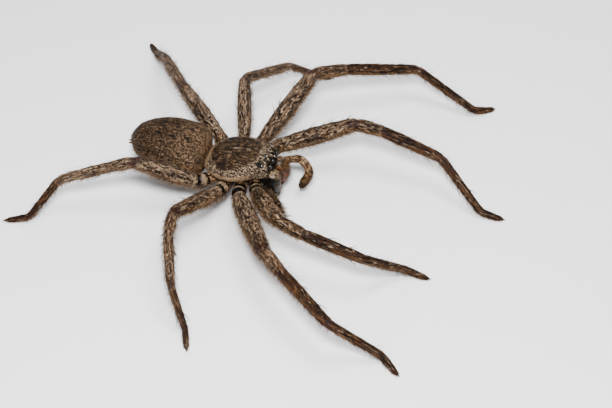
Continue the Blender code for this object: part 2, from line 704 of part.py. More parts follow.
def main():
    clear_scene()
    collection = new_collection("huntsman_spider")
    cutters = new_collection("cutters")
    fused = new_collection("fused")
    materials = make_materials()
    spider = bpy.data.objects.new("spider_frame", None)
    body = bpy.data.objects.new("body_frame", None)
    for frame in (spider, body):
        collection.objects.link(frame)
    body.parent = spider
    body.location = (0, 0, STERNUM_HEIGHT)
    body.rotation_euler = Euler((NOSE_UP, 0, math.pi), "XYZ")
    bpy.context.view_layer.update()
    stance = body.matrix_world.copy()

    make_carapace(collection, cutters, body, materials)
    make_eyes(collection, body, materials)
    make_sternum(collection, body, materials)
    make_pedicel(collection, body, materials)
    make_abdomen(collection, body, materials)
    make_spinnerets(collection, fused, body, materials)
    make_chelicerae(collection, body, materials)
    make_palps(collection, fused, body, materials)
    for name, pose in POSES.items():
        make_leg(name, pose, int(name[1]) - 1, stance, collection, fused, spider, materials)
    centre_on_origin(spider, collection)


main()
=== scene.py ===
"""The looks of a life-size huntsman spider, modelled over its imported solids.

Skins are grids rolled round the limbs and the body, in millimetres until their meshes are made. Hair is
joined thin tufts, rooted on the skins. Each skin and its coat read the same two attributes, place and zone,
so that one marking runs over both:

    place   where a point lies on the straightened limb, or in the body frame, in millimetres
    zone    three masks from 0 to 1, whose meaning each sub-assembly gives

The body frame has +Y forward, +X to the spider's right and z = 0 on the underside of the sternum.
"""

from __future__ import annotations

import json
import logging
import math
import sys
from dataclasses import dataclass, field
from enum import Enum

import bpy
import numpy as np
from mathutils import Matrix, Vector

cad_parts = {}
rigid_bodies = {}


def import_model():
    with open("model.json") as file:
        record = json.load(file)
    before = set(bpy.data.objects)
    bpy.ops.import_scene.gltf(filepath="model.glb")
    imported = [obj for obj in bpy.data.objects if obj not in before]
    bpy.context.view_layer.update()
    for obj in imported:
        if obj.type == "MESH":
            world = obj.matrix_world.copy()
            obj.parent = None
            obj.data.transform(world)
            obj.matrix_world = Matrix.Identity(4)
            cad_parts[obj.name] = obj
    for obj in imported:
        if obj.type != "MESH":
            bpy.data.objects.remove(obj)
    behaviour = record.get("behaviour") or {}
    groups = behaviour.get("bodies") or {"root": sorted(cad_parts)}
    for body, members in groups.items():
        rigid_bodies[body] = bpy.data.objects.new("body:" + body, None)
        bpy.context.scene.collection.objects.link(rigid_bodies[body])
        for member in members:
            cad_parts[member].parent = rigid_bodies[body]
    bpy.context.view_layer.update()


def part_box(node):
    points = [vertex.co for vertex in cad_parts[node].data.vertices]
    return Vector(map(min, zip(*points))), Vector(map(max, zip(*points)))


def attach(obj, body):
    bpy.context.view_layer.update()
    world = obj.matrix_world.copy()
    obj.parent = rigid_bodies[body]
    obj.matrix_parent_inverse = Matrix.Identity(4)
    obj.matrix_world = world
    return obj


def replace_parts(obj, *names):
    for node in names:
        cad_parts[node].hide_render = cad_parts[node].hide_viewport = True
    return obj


log = logging.getLogger("huntsman_spider")

MM = 0.001
BODY = "root"
BAKE_MAP = "OFBake"
PATCH = 0.003
MERGE = 1e-6
UP = np.array([0.0, 0.0, 1.0])
FORWARD = np.array([0.0, 1.0, 0.0])

# The place along a leg starts at the leg's number in POSES, counted from 1, times LEG_OFFSET. A range of
# legs is told by where it starts, or by its middle and the two ends of the soft edge round it.
LEG_OFFSET = 90.0
RIGHT_LEGS_START = 4.9 * LEG_OFFSET
HIND_RIGHT_LEGS_START = 6.9 * LEG_OFFSET
LAST_RIGHT_LEG_START = 7.9 * LEG_OFFSET
LAST_RIGHT_LEG_FULL = 7.95 * LEG_OFFSET
FRONT_RIGHT_LEG_MIDDLE = 5.4 * LEG_OFFSET
FRONT_RIGHT_LEG_REACH = (46.0, 44.0)
REAR_LEFT_LEGS_MIDDLE = 3.95 * LEG_OFFSET
REAR_LEFT_LEGS_REACH = (92.0, 88.0)
DIMMED = (0.212, 0.173, 0.13)

Stations = tuple[tuple[float, float], ...]
Colour = tuple[float, float, float]


class Side(Enum):
    """A side of the spider, whose value is the sign of x there in the body frame."""

    RIGHT = 1
    LEFT = -1

    @property
    def letter(self) -> str:
        """The letter that node names give this side."""
        return "r" if self is Side.RIGHT else "l"


class Length(Enum):
    """The lengths of a leg, in order from the body."""

    COXA = 0
    FEMUR = 1
    PATELLA = 2
    TIBIA = 3
    METATARSUS = 4
    TARSUS = 5
    TOE = 6


def shown(red: int, green: int, blue: int) -> Colour:
    """The reflectance of a surface that shows as a given colour in the picture.

    Args:
        red, green, blue: channels from 0 to 255.

    Returns:
        The linear channels from 0 to 1, dimmed by the strength of the light and the film's loss of colour.
    """
    linear = (((c / 255 + 0.055) / 1.055) ** 2.4 if c > 10 else c / 3294.6 for c in (red, green, blue))
    return tuple(channel * dimmed for channel, dimmed in zip(linear, DIMMED))


def unit(vectors: np.ndarray) -> np.ndarray:
    """The vectors at length 1."""
    return vectors / np.maximum(np.linalg.norm(vectors, axis=-1, keepdims=True), 1e-12)


def smooth_step(low: float, high: float, values: np.ndarray) -> np.ndarray:
    """A smooth rise from 0 at low to 1 at high."""
    t = np.clip((np.asarray(values, float) - low) / (high - low), 0, 1)
    return t * t * (3 - 2 * t)


def hump(values: np.ndarray, middle: float, width: float) -> np.ndarray:
    """A bell of height 1 about a middle value."""
    return np.exp(-(((np.asarray(values, float) - middle) / width) ** 2))


def smooth_curve(stations: Stations, places: np.ndarray) -> np.ndarray:
    """Values at places of a smooth curve through (place, value) stations."""
    at, values = (np.array(column, float) for column in zip(*stations))
    slopes = np.gradient(values, at)
    places = np.asarray(places, float)
    i = np.clip(np.searchsorted(at, places, side="right") - 1, 0, len(at) - 2)
    span = at[i + 1] - at[i]
    t = (places - at[i]) / span
    return (
        (2 * t**3 - 3 * t**2 + 1) * values[i]
        + (t**3 - 2 * t**2 + t) * span * slopes[i]
        + (3 * t**2 - 2 * t**3) * values[i + 1]
        + (t**3 - t**2) * span * slopes[i + 1]
    )


# Frames


@dataclass(frozen=True)
class BodyFrame:
    """Where the body frame stands in the model, in millimetres."""

    shift: np.ndarray
    height: float = 3.57
    nose_up: float = 0.05

    @classmethod
    def over(cls, place: tuple[float, float, float], nodes: tuple[str, str]) -> "BodyFrame":
        """The frame in which a pair of mirrored nodes has its middle at a place.

        Args:
            place: the pair's middle in the body frame.
            nodes: the names of the two nodes.
        """
        corners = np.array([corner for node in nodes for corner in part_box(node)]) / MM
        middle = (corners.min(axis=0) + corners.max(axis=0)) / 2
        unshifted = cls(np.zeros(3)).to_model(np.array(place))
        shift = middle - unshifted
        shift[2] = 0
        return cls(shift)

    def turn(self, vectors: np.ndarray) -> np.ndarray:
        """Directions of the body frame as the model has them."""
        cos, sin = math.cos(self.nose_up), math.sin(self.nose_up)
        x, y, z = np.moveaxis(np.asarray(vectors, float), -1, 0)
        return np.stack([-x, -y * cos + z * sin, y * sin + z * cos], axis=-1)

    def to_model(self, points: np.ndarray) -> np.ndarray:
        """Places of the body frame as the model has them."""
        return self.turn(points) + self.shift + UP * self.height


# Surfaces that skins are rolled over and coats grow from


@dataclass
class Roots:
    """Where hairs start: places on a surface, with the directions and the markings there."""

    spots: np.ndarray
    normals: np.ndarray
    runs: np.ndarray
    place: np.ndarray
    zone: np.ndarray
    bake: np.ndarray

    def only(self, chosen: np.ndarray) -> "Roots":
        """The roots that a mask or a list of numbers chooses."""
        return Roots(*(getattr(self, name)[chosen] for name in self.__dataclass_fields__))


@dataclass
class Surface:
    """A closed skin as rings of points along it, with its markings' place and zone at each point."""

    rings: np.ndarray
    place: np.ndarray
    zone: np.ndarray

    def wrapped(self, values: np.ndarray) -> np.ndarray:
        """Values with the first column repeated at the end."""
        return np.concatenate([values, values[:, :1]], axis=1)

    def normals(self) -> np.ndarray:
        """Outward normal at each point."""
        along = np.gradient(self.rings, axis=0)
        around = np.roll(self.rings, -1, axis=1) - np.roll(self.rings, 1, axis=1)
        normals = unit(np.cross(around, along))
        middle = self.rings.mean(axis=1, keepdims=True)
        outward = ((self.rings - middle) * normals).sum()
        return normals * (1 if outward > 0 else -1)

    def runs(self) -> np.ndarray:
        """Direction along the skin at each point, from its first ring to its last."""
        return unit(np.gradient(self.rings, axis=0))

    def at(self, rows: np.ndarray, columns: np.ndarray) -> Roots:
        """Roots at fractional rows and columns of the skin's own grid."""
        count, sides = self.rings.shape[:2]
        rows = np.clip(rows, 0, count - 1.001)
        columns = np.mod(columns, sides)
        i, j = rows.astype(int), columns.astype(int)
        a, b = (rows - i)[:, None], (columns - j)[:, None]
        k = (j + 1) % sides

        def blend(values: np.ndarray) -> np.ndarray:
            near = values[i, j] * (1 - b) + values[i, k] * b
            far = values[i + 1, j] * (1 - b) + values[i + 1, k] * b
            return near * (1 - a) + far * a

        bake = np.stack([columns / sides, rows / (count - 1)], axis=1)
        return Roots(
            blend(self.rings), unit(blend(self.normals())), unit(blend(self.runs())),
            blend(self.place), blend(self.zone), bake,
        )

    def scatter(self, density: np.ndarray | float, draw: np.random.Generator) -> Roots:
        """Random roots spread over the skin.

        Args:
            density: hairs for each square millimetre, at each point of the rings.
            draw: the seeded source of chance.
        """
        rings = self.wrapped(self.rings)
        across = rings[:-1, 1:] - rings[:-1, :-1]
        along = rings[1:, :-1] - rings[:-1, :-1]
        area = np.linalg.norm(np.cross(across, along), axis=-1)
        chance = area * np.broadcast_to(density, self.rings.shape[:2])[:-1]
        total = chance.sum()
        cells = draw.choice(chance.size, size=int(total), p=chance.ravel() / total)
        rows, columns = np.divmod(cells, chance.shape[1])
        return self.at(rows + draw.random(len(cells)), columns + draw.random(len(cells)))

    def skin(self, name: str, detail: int = 1) -> bpy.types.Object:
        """Adds a grid, rolls it over the rings, closes its seam and smooths it.

        Args:
            name: the new object's name.
            detail: levels of subdivision.
        """
        rows, columns = self.rings.shape[:2]
        deselect()
        bpy.ops.mesh.primitive_grid_add(x_subdivisions=columns, y_subdivisions=rows - 1, size=1)
        skin = bpy.context.object
        skin.name = skin.data.name = name
        skin.data.uv_layers[0].name = BAKE_MAP
        skin.data.vertices.foreach_set("co", (self.wrapped(self.rings) * MM).ravel())
        for title, values in (("place", self.place), ("zone", self.zone)):
            write_vectors(skin.data, title, self.wrapped(values).reshape(-1, 3))
        bpy.ops.object.mode_set(mode="EDIT")
        bpy.ops.mesh.select_all(action="SELECT")
        bpy.ops.mesh.remove_doubles(threshold=MERGE)
        bpy.ops.mesh.normals_make_consistent(inside=False)
        bpy.ops.object.mode_set(mode="OBJECT")
        if detail:
            smooth = skin.modifiers.new("smooth", "SUBSURF")
            smooth.levels = smooth.render_levels = detail
            bpy.ops.object.modifier_apply(modifier=smooth.name)
        bpy.ops.object.shade_smooth()
        return skin


def deselect() -> None:
    """Leaves object mode with nothing selected."""
    if bpy.context.object and bpy.context.object.mode != "OBJECT":
        bpy.ops.object.mode_set(mode="OBJECT")
    bpy.ops.object.select_all(action="DESELECT")


def write_vectors(mesh: bpy.types.Mesh, title: str, values: np.ndarray) -> None:
    """Stores a vector at each point of a mesh."""
    layer = mesh.attributes.new(title, "FLOAT_VECTOR", "POINT")
    layer.data.foreach_set("vector", np.ascontiguousarray(values, np.float32).ravel())


def domed(rings: np.ndarray, height: float, steps: int, at_end: bool) -> np.ndarray:
    """The rings that close one end of a tube with a dome.

    Args:
        rings: the tube's own rings.
        height: how far the dome stands out, in millimetres.
        steps: the number of rings in it, the last of which is a point.
        at_end: whether the dome closes the last ring, and not the first.
    """
    edge, inner = (rings[-1], rings[-2]) if at_end else (rings[0], rings[1])
    centre = edge.mean(axis=0)
    out = unit(centre - inner.mean(axis=0))
    turns = [math.pi / 2 * k / steps for k in range(1, steps + 1)]
    dome = np.stack([centre + (edge - centre) * math.cos(t) + out * (height * math.sin(t)) for t in turns])
    return dome if at_end else dome[::-1]


def closed(rings: np.ndarray, start: float, end: float, steps: int = 5) -> np.ndarray:
    """The rings with a dome of the given height on each end."""
    return np.concatenate([domed(rings, start, steps, False), rings, domed(rings, end, steps, True)])


# Coats


@dataclass(frozen=True)
class Tuft:
    """How one kind of hair grows, in millimetres, degrees and hairs for each square millimetre."""

    length: float
    radius: float
    lift: float
    curl: float = 0.3
    spread: float = 0.3
    sway: float = 14.0
    flatness: float = 0.55
    levels: int = 2
    sides: int = 3
    sunk: float = 0.06
    kind: float = 0.0
    density: float = 0.0


class Coat:
    """Joined tufts, each a thin closed blade with its own patch of the bake map."""

    def __init__(self, name: str, seed: int) -> None:
        """Starts a coat with no hair.

        Args:
            name: the name of its object.
            seed: the seed of its source of chance.
        """
        self.name = name
        self.draw = np.random.default_rng(seed)
        self.points: list[np.ndarray] = []
        self.triangles: list[np.ndarray] = []
        self.values: dict[str, list[np.ndarray]] = {"place": [], "zone": [], "hair": []}
        self.patches: list[np.ndarray] = []
        self.total = 0

    def grow(self, roots: Roots, tuft: Tuft, heading: np.ndarray | None = None) -> None:
        """Adds a tuft at every root.

        Args:
            roots: where the tufts start.
            tuft: how they grow.
            heading: the direction that each lies along, or none to follow the skin's run.
        """
        count = len(roots.spots)
        if not count:
            return
        draw = self.draw
        if heading is None:
            heading = roots.runs
        else:
            heading = unit(heading - roots.normals * dot(heading, roots.normals))
        lift = np.radians(tuft.lift * (1 + draw.uniform(-0.35, 0.35, (count, 1))))
        sway = np.radians(draw.normal(0, tuft.sway, (count, 1)))
        across = np.cross(roots.normals, heading)
        flat = heading * np.cos(sway) + across * np.sin(sway)
        lean = flat * np.cos(lift) + roots.normals * np.sin(lift)
        reach = tuft.length * (1 + draw.uniform(-tuft.spread, tuft.spread, (count, 1)))
        bend = flat * tuft.curl - roots.normals * tuft.curl * np.sin(lift)
        edge = unit(np.cross(lean, roots.normals))
        face = unit(np.cross(edge, lean))
        start = roots.spots - roots.normals * tuft.sunk
        rows = []
        turns = 2 * np.pi * np.arange(tuft.sides) / tuft.sides
        ring = (
            edge[:, None] * np.cos(turns)[None, :, None]
            + face[:, None] * (np.sin(turns) * tuft.flatness)[None, :, None]
        )
        for level in range(tuft.levels):
            f = level / tuft.levels
            centre = start + lean * (reach * f) + bend * (reach * f * f)
            rows.append(centre[:, None] + ring * (tuft.radius * (1 - f) ** 0.7))
        tip = start + lean * reach + bend * reach
        points = np.concatenate([*rows, tip[:, None]], axis=1)
        points[..., 2] = np.maximum(points[..., 2], 0.01)
        each = points.shape[1]
        fraction = np.append(np.repeat(np.arange(tuft.levels) / tuft.levels, tuft.sides), 1.0)
        offset = np.append(np.tile(np.cos(turns), tuft.levels), 0.0)
        patch = np.stack([offset, fraction * 1.6 - 0.8], axis=1) * PATCH / 2
        base = np.clip(roots.bake, PATCH, 1 - PATCH)
        hair = np.empty((count, each, 3))
        hair[..., 0] = fraction
        hair[..., 1] = draw.random((count, 1))
        hair[..., 2] = tuft.kind
        first_points = np.arange(count)[:, None, None] * each + self.total
        self.triangles.append((blade(tuft)[None] + first_points).reshape(-1, 3))
        self.points.append(points.reshape(-1, 3))
        self.values["place"].append(np.repeat(roots.place, each, axis=0))
        self.values["zone"].append(np.repeat(roots.zone, each, axis=0))
        self.values["hair"].append(hair.reshape(-1, 3))
        self.patches.append((base[:, None] + patch[None]).reshape(-1, 2))
        self.total += count * each

    def finish(self, material: bpy.types.Material) -> bpy.types.Object:
        """Joins the tufts in one object."""
        mesh = bpy.data.meshes.new(self.name)
        triangles = np.concatenate(self.triangles)
        mesh.from_pydata(np.concatenate(self.points) * MM, [], triangles)
        for title, values in self.values.items():
            write_vectors(mesh, title, np.concatenate(values))
        patches = np.concatenate(self.patches)
        bake = mesh.uv_layers.new(name=BAKE_MAP)
        bake.uv.foreach_set("vector", patches[triangles.ravel()].astype(np.float32).ravel())
        mesh.shade_smooth()
        mesh.materials.append(material)
        coat = bpy.data.objects.new(self.name, mesh)
        bpy.context.scene.collection.objects.link(coat)
        log.info("%s has %d triangles", self.name, len(triangles))
        return coat


def dot(first: np.ndarray, second: np.ndarray) -> np.ndarray:
    """Dot products of two rows of vectors, as a column."""
    return (first * second).sum(axis=-1, keepdims=True)


def blade(tuft: Tuft) -> np.ndarray:
    """The triangles of one closed tuft, whose last point is its tip."""
    sides, tip = tuft.sides, tuft.levels * tuft.sides
    faces = [(0, k + 1, k) for k in range(1, sides - 1)]
    for level in range(tuft.levels):
        low, high = level * sides, (level + 1) * sides
        for k in range(sides):
            after = (k + 1) % sides
            if high == tip:
                faces.append((low + k, low + after, tip))
            else:
                faces.append((low + k, low + after, high + after))
                faces.append((low + k, high + after, high + k))
    return np.array(faces)


# Materials


class Wire:
    """A number in a material, on which sums and products make Math nodes."""

    def __init__(self, board: "Board", socket: bpy.types.NodeSocket) -> None:
        """Holds a socket and the board that its node is on."""
        self.board = board
        self.socket = socket

    def __add__(self, other: "Wire | float") -> "Wire":
        """The sum."""
        return self.board.maths("ADD", self, other)

    def __sub__(self, other: "Wire | float") -> "Wire":
        """The difference."""
        return self.board.maths("SUBTRACT", self, other)

    def __rsub__(self, other: float) -> "Wire":
        """The difference from a number."""
        return self.board.maths("SUBTRACT", other, self)

    def __mul__(self, other: "Wire | float") -> "Wire":
        """The product."""
        return self.board.maths("MULTIPLY", self, other)

    def __abs__(self) -> "Wire":
        """The size without its sign."""
        return self.board.maths("ABSOLUTE", self)

    __radd__ = __add__
    __rmul__ = __mul__


class Board:
    """A material's nodes."""

    def __init__(self, name: str) -> None:
        """Starts a material with its shader alone."""
        self.material = bpy.data.materials.new(name)
        self.material.use_nodes = True
        self.tree = self.material.node_tree
        self.shader = self.tree.nodes["Principled BSDF"]

    def node(self, kind: str, settings: dict, sockets: dict) -> bpy.types.Node:
        """Adds a node.

        Args:
            kind: the node's type.
            settings: its properties, with a ramp's stops under the name stops.
            sockets: a value, or a wire, for each input by name or number.
        """
        node = self.tree.nodes.new(kind)
        for title, value in settings.items():
            if title == "stops":
                write_stops(node.color_ramp, value)
            else:
                setattr(node, title, value)
        for title, value in sockets.items():
            self.plug(node.inputs[title], value)
        return node

    def plug(self, socket: bpy.types.NodeSocket, value: object) -> None:
        """Sets a socket to a value, or links a wire to it."""
        if isinstance(value, Wire):
            self.tree.links.new(value.socket, socket)
        elif isinstance(value, tuple) and socket.type == "RGBA":
            socket.default_value = (*value[:3], 1)
        else:
            socket.default_value = value

    def maths(self, operation: str, first: Wire | float, second: Wire | float = 0.0) -> Wire:
        """One Math node."""
        node = self.node("ShaderNodeMath", {"operation": operation}, {0: first, 1: second})
        return Wire(self, node.outputs[0])

    def attribute(self, title: str) -> tuple[Wire, Wire, Wire, Wire]:
        """A vector attribute, and its three numbers."""
        vector = self.node("ShaderNodeAttribute", {"attribute_name": title}, {}).outputs["Vector"]
        parts = self.node("ShaderNodeSeparateXYZ", {}, {0: Wire(self, vector)}).outputs
        return Wire(self, vector), *(Wire(self, part) for part in parts)

    def stretched(self, vector: Wire, scale: tuple[float, float, float]) -> Wire:
        """A place stretched by a scale on each axis."""
        settings = {"operation": "MULTIPLY"}
        return Wire(self, self.node("ShaderNodeVectorMath", settings, {0: vector, 1: scale}).outputs[0])

    def noise(self, vector: Wire, scale: float, detail: float = 3.0, roughness: float = 0.55) -> Wire:
        """Smooth chance from 0 to 1 over a place."""
        sockets = {"Vector": vector, "Scale": scale, "Detail": detail, "Roughness": roughness}
        return Wire(self, self.node("ShaderNodeTexNoise", {}, sockets).outputs["Fac"])

    def rise(self, value: Wire, low: float, high: float) -> Wire:
        """A smooth rise from 0 at low to 1 at high, or a fall where low is above high."""
        settings = {"interpolation_type": "SMOOTHSTEP"}
        ends = (low, high, 0.0, 1.0) if low < high else (high, low, 1.0, 0.0)
        sockets = {"Value": value, 1: ends[0], 2: ends[1], 3: ends[2], 4: ends[3]}
        return Wire(self, self.node("ShaderNodeMapRange", settings, sockets).outputs["Result"])

    def spread(self, value: Wire, low: float, high: float, first: float, last: float) -> Wire:
        """A number that goes evenly from first to last as another goes from low to high."""
        sockets = {"Value": value, 1: low, 2: high, 3: first, 4: last}
        return Wire(self, self.node("ShaderNodeMapRange", {}, sockets).outputs["Result"])

    def grained(self, colour: Wire | Colour, vector: Wire, scale: float, low: float, high: float) -> Wire:
        """A colour broken into fine grains, from low to high times as bright."""
        chance = self.noise(vector, scale, 2.0, 0.6)
        return self.shaded(colour, self.spread(chance, 0.38, 0.62, low, high))

    def mix(self, factor: Wire | float, first: Wire | Colour, second: Wire | Colour) -> Wire:
        """A colour between two."""
        settings = {"data_type": "RGBA"}
        node = self.node("ShaderNodeMix", settings, {0: factor, 6: first, 7: second})
        return Wire(self, node.outputs[2])

    def ramp(self, value: Wire, stops: tuple[tuple[float, Colour], ...]) -> Wire:
        """A colour from a ramp."""
        return Wire(self, self.node("ShaderNodeValToRGB", {"stops": stops}, {0: value}).outputs[0])

    def shaded(self, colour: Wire, brightness: Wire) -> Wire:
        """A colour made darker or lighter by a number."""
        settings = {"data_type": "RGBA", "blend_type": "MULTIPLY"}
        node = self.node("ShaderNodeMix", settings, {0: 1.0, 6: colour, 7: brightness})
        return Wire(self, node.outputs[2])

    def bump(self, height: Wire, depth: float) -> Wire:
        """A normal from a height, whose depth is in millimetres."""
        sockets = {"Height": height, "Distance": depth * MM, "Strength": 1.0}
        return Wire(self, self.node("ShaderNodeBump", {}, sockets).outputs[0])

    def surface(self, **sockets: object) -> bpy.types.Material:
        """Sets the shader's sockets, named with underscores for spaces, and hands over the material."""
        for title, value in sockets.items():
            self.plug(self.shader.inputs[title.replace("_", " ")], value)
        return self.material


def write_stops(ramp: bpy.types.ColorRamp, stops: tuple[tuple[float, Colour], ...]) -> None:
    """Gives a colour ramp its stops."""
    while len(ramp.elements) < len(stops):
        ramp.elements.new(0.5)
    for element, (position, colour) in zip(ramp.elements, stops):
        element.position = position
        element.color = (*colour, 1)


@dataclass(frozen=True)
class Marking:
    """Base of the finishes that a skin and its coat share."""

    name: str
    bump_depth: float = 0.05
    roughness: float = 0.62
    coat_roughness: float = 0.5
    specular: float = 0.1
    pale: Colour = shown(190, 166, 142)
    black: Colour = shown(6, 3, 2)

    def tone(self, board: Board) -> tuple[Wire, Wire]:
        """The marking's colour, and the height of its relief."""
        raise NotImplementedError

    def gloss(self, board: Board) -> Wire | float:
        """The skin's roughness."""
        return self.roughness

    def skin(self) -> bpy.types.Material:
        """The bare skin's material."""
        board = Board(f"{self.name}_skin")
        colour, height = self.tone(board)
        return board.surface(
            Base_Color=colour, Roughness=self.gloss(board), Normal=board.bump(height, self.bump_depth),
            Specular_IOR_Level=self.specular,
        )

    def coat(self) -> bpy.types.Material:
        """The material of the hair on it: the skin's marking, varied from hair to hair."""
        board = Board(f"{self.name}_coat")
        colour, _ = self.tone(board)
        _, along, chance, kind = board.attribute("hair")
        colour = board.mix(kind, colour, self.pale)
        light = (chance * chance * 2.1 + 0.3) * (along * 0.45 + 0.78)
        return board.surface(
            Base_Color=board.shaded(colour, light), Roughness=self.coat_roughness, Specular_IOR_Level=0.04,
        )


@dataclass(frozen=True)
class LegMarking(Marking):
    """Pale taupe with black dashes, dark brown towards the foot. Its zone is (joint, top, reach)."""

    name: str = "leg"
    bump_depth: float = 0.08
    pale: Colour = shown(222, 196, 172)

    def gloss(self, board: Board) -> Wire | float:
        """Polished where the coxa's dark membrane is bare."""
        _, joint, _, reach = board.attribute("zone")
        return board.rise(reach, 0.12, 0.14) * (0.36 - joint * 0.34) + 0.26

    def tone(self, board: Board) -> tuple[Wire, Wire]:
        """The marking's colour, and the height of its relief."""
        place, along, _, _ = board.attribute("place")
        _, joint, top, reach = board.attribute("zone")
        right = board.rise(along, RIGHT_LEGS_START - 1, RIGHT_LEGS_START)
        hind = board.rise(along, HIND_RIGHT_LEGS_START - 1, HIND_RIGHT_LEGS_START)
        colour = board.ramp(reach, (
            (0.0, shown(120, 98, 80)), (0.06, shown(190, 166, 142)), (0.12, shown(150, 130, 114)),
            (0.2, shown(160, 140, 126)), (0.33, shown(150, 126, 108)), (0.43, shown(142, 114, 92)),
            (0.445, shown(128, 95, 68)), (0.6, shown(128, 92, 64)), (0.9, shown(112, 80, 56)),
            (1.0, shown(116, 78, 50)),
        ))
        colour = board.mix((1 - right) * board.rise(reach, 0.12, 0.1) * 0.9, colour, shown(176, 154, 134))
        wander = board.noise(board.stretched(place, (0.3, 0.7, 0.7)), 1.0)
        colour = board.mix(board.rise(wander, 0.45, 0.65) * 0.5, colour, shown(80, 56, 42))
        stripe = board.rise(board.noise(board.stretched(place, (0.5, 3.4, 3.4)), 1.1, 2.0), 0.5, 0.57)
        femur = board.rise(reach, 0.445, 0.43) * board.rise(reach, 0.1, 0.12)
        sides = board.rise(top, 0.84, 0.66) * femur
        colour = board.mix(sides * 0.5, colour, shown(146, 116, 82))
        first = board.rise(abs(along - FRONT_RIGHT_LEG_MIDDLE), *FRONT_RIGHT_LEG_REACH)
        colour = board.mix(first * femur * 0.4, colour, shown(128, 106, 66))
        back = board.rise(abs(along - REAR_LEFT_LEGS_MIDDLE), *REAR_LEFT_LEGS_REACH)
        back = back + board.rise(along, LAST_RIGHT_LEG_START, LAST_RIGHT_LEG_FULL)
        colour = board.mix(back * femur * 0.35, colour, shown(206, 192, 182))
        colour = board.mix(stripe * femur * 0.85, colour, shown(222, 204, 190))
        distal = board.rise(reach, 0.43, 0.445)
        colour = board.mix(stripe * distal * 0.5, colour, shown(178, 146, 116))
        colour = board.mix(first * distal * 0.35, colour, shown(58, 38, 25))
        dash = board.noise(board.stretched(place, (0.9, 3.0, 3.0)), 1.35, 2.0)
        upper = board.rise(top, 0.3, 0.72)
        near = board.rise(reach, 0.5, 0.38) * 0.6 + 0.4
        colour = board.mix(board.rise(dash, 0.52, 0.55) * upper * near, colour, self.black)
        line = board.noise(board.stretched(place, (0.16, 1.4, 1.4)), 1.0, 1.0)
        colour = board.mix(board.rise(line, 0.5, 0.54) * (distal * 0.3 + 0.62), colour, shown(22, 11, 7))
        ridge = board.rise(top, 0.66, 0.84) * distal * board.rise(wander, 0.36, 0.5)
        colour = board.mix(ridge * 0.7, colour, shown(40, 22, 14))
        colour = board.grained(colour, board.stretched(place, (2.4, 3.1, 3.1)), 1.2, 0.0, 2.8)
        glint = board.noise(board.stretched(place, (0.9, 2.6, 2.6)), 1.0, 0.0)
        colour = board.mix(board.rise(glint, 0.7, 0.74) * upper * 0.85, colour, shown(242, 228, 216))
        low = board.rise(top, 0.48, 0.28) * board.rise(reach, 0.08, 0.14)
        colour = board.mix(low * 0.65, colour, shown(182, 146, 112))
        knee = joint * board.rise(wander, 0.2, 0.5) * board.rise(dash, 0.56, 0.5) * (1 - first)
        colour = board.mix(knee, colour, shown(78, 26, 17))
        ring = board.rise(abs(reach - 0.433), 0.004, 0.0015) * board.rise(dash, 0.55, 0.5)
        colour = board.mix(ring * 0.7, colour, shown(206, 180, 152))
        wide = board.rise(abs(reach - 0.07), 0.013, 0.006) + board.rise(abs(reach - 0.102), 0.013, 0.008)
        thin = board.rise(abs(reach - 0.069), 0.006, 0.003) + board.rise(abs(reach - 0.103), 0.007, 0.004)
        blob = board.rise(abs(reach - 0.086) + abs(top - 0.85) * 0.03, 0.014, 0.009) * hind
        cream = board.grained(shown(214, 196, 178), board.stretched(place, (1.6, 1.2, 1.2)), 1.6, 0.25, 1.7)
        colour = board.mix(blob * 0.85, colour, cream)
        membrane = wide * (1 - hind) + thin * hind
        colour = board.mix(membrane * right * board.rise(top, 0.3, 0.6), colour, self.black)
        broken = board.rise(wander, 0.3, 0.5) * upper * right
        crescent = board.rise(abs(reach - 0.086), 0.0045, 0.001)
        crescent = crescent + board.rise(abs(reach - 0.118), 0.004, 0.001)
        colour = board.mix(crescent * broken * 0.9, colour, shown(222, 212, 200))
        fibre = board.noise(board.stretched(place, (1.6, 7.0, 7.0)), 1.3, 3.0)
        return colour, fibre + dash * 0.5


@dataclass(frozen=True)
class PalpMarking(Marking):
    """Brown with orange joints and an olive-dark tip. Its zone is (joint, top, reach)."""

    name: str = "palp"

    def tone(self, board: Board) -> tuple[Wire, Wire]:
        """The marking's colour, and the height of its relief."""
        place, _, _, _ = board.attribute("place")
        _, joint, top, reach = board.attribute("zone")
        colour = board.ramp(reach, (
            (0.0, shown(40, 26, 18)), (0.15, shown(60, 42, 30)), (0.25, shown(150, 120, 96)),
            (0.5, shown(232, 206, 180)), (0.7, shown(222, 196, 168)), (0.84, shown(172, 144, 114)),
            (0.95, shown(108, 88, 66)),
        ))
        stripe = board.noise(board.stretched(place, (0.9, 1.3, 1.3)), 1.5, 2.0)
        under = board.rise(top, 0.35, 0.1) * 0.5 + joint * 0.5
        colour = board.mix(under * board.rise(reach, 0.2, 0.35), colour, shown(182, 112, 62))
        colour = board.mix(board.rise(stripe, 0.48, 0.54) * 0.9, colour, shown(40, 25, 16))
        colour = board.grained(colour, board.stretched(place, (1.9, 1.6, 1.6)), 1.35, 0.1, 2.6)
        return colour, stripe


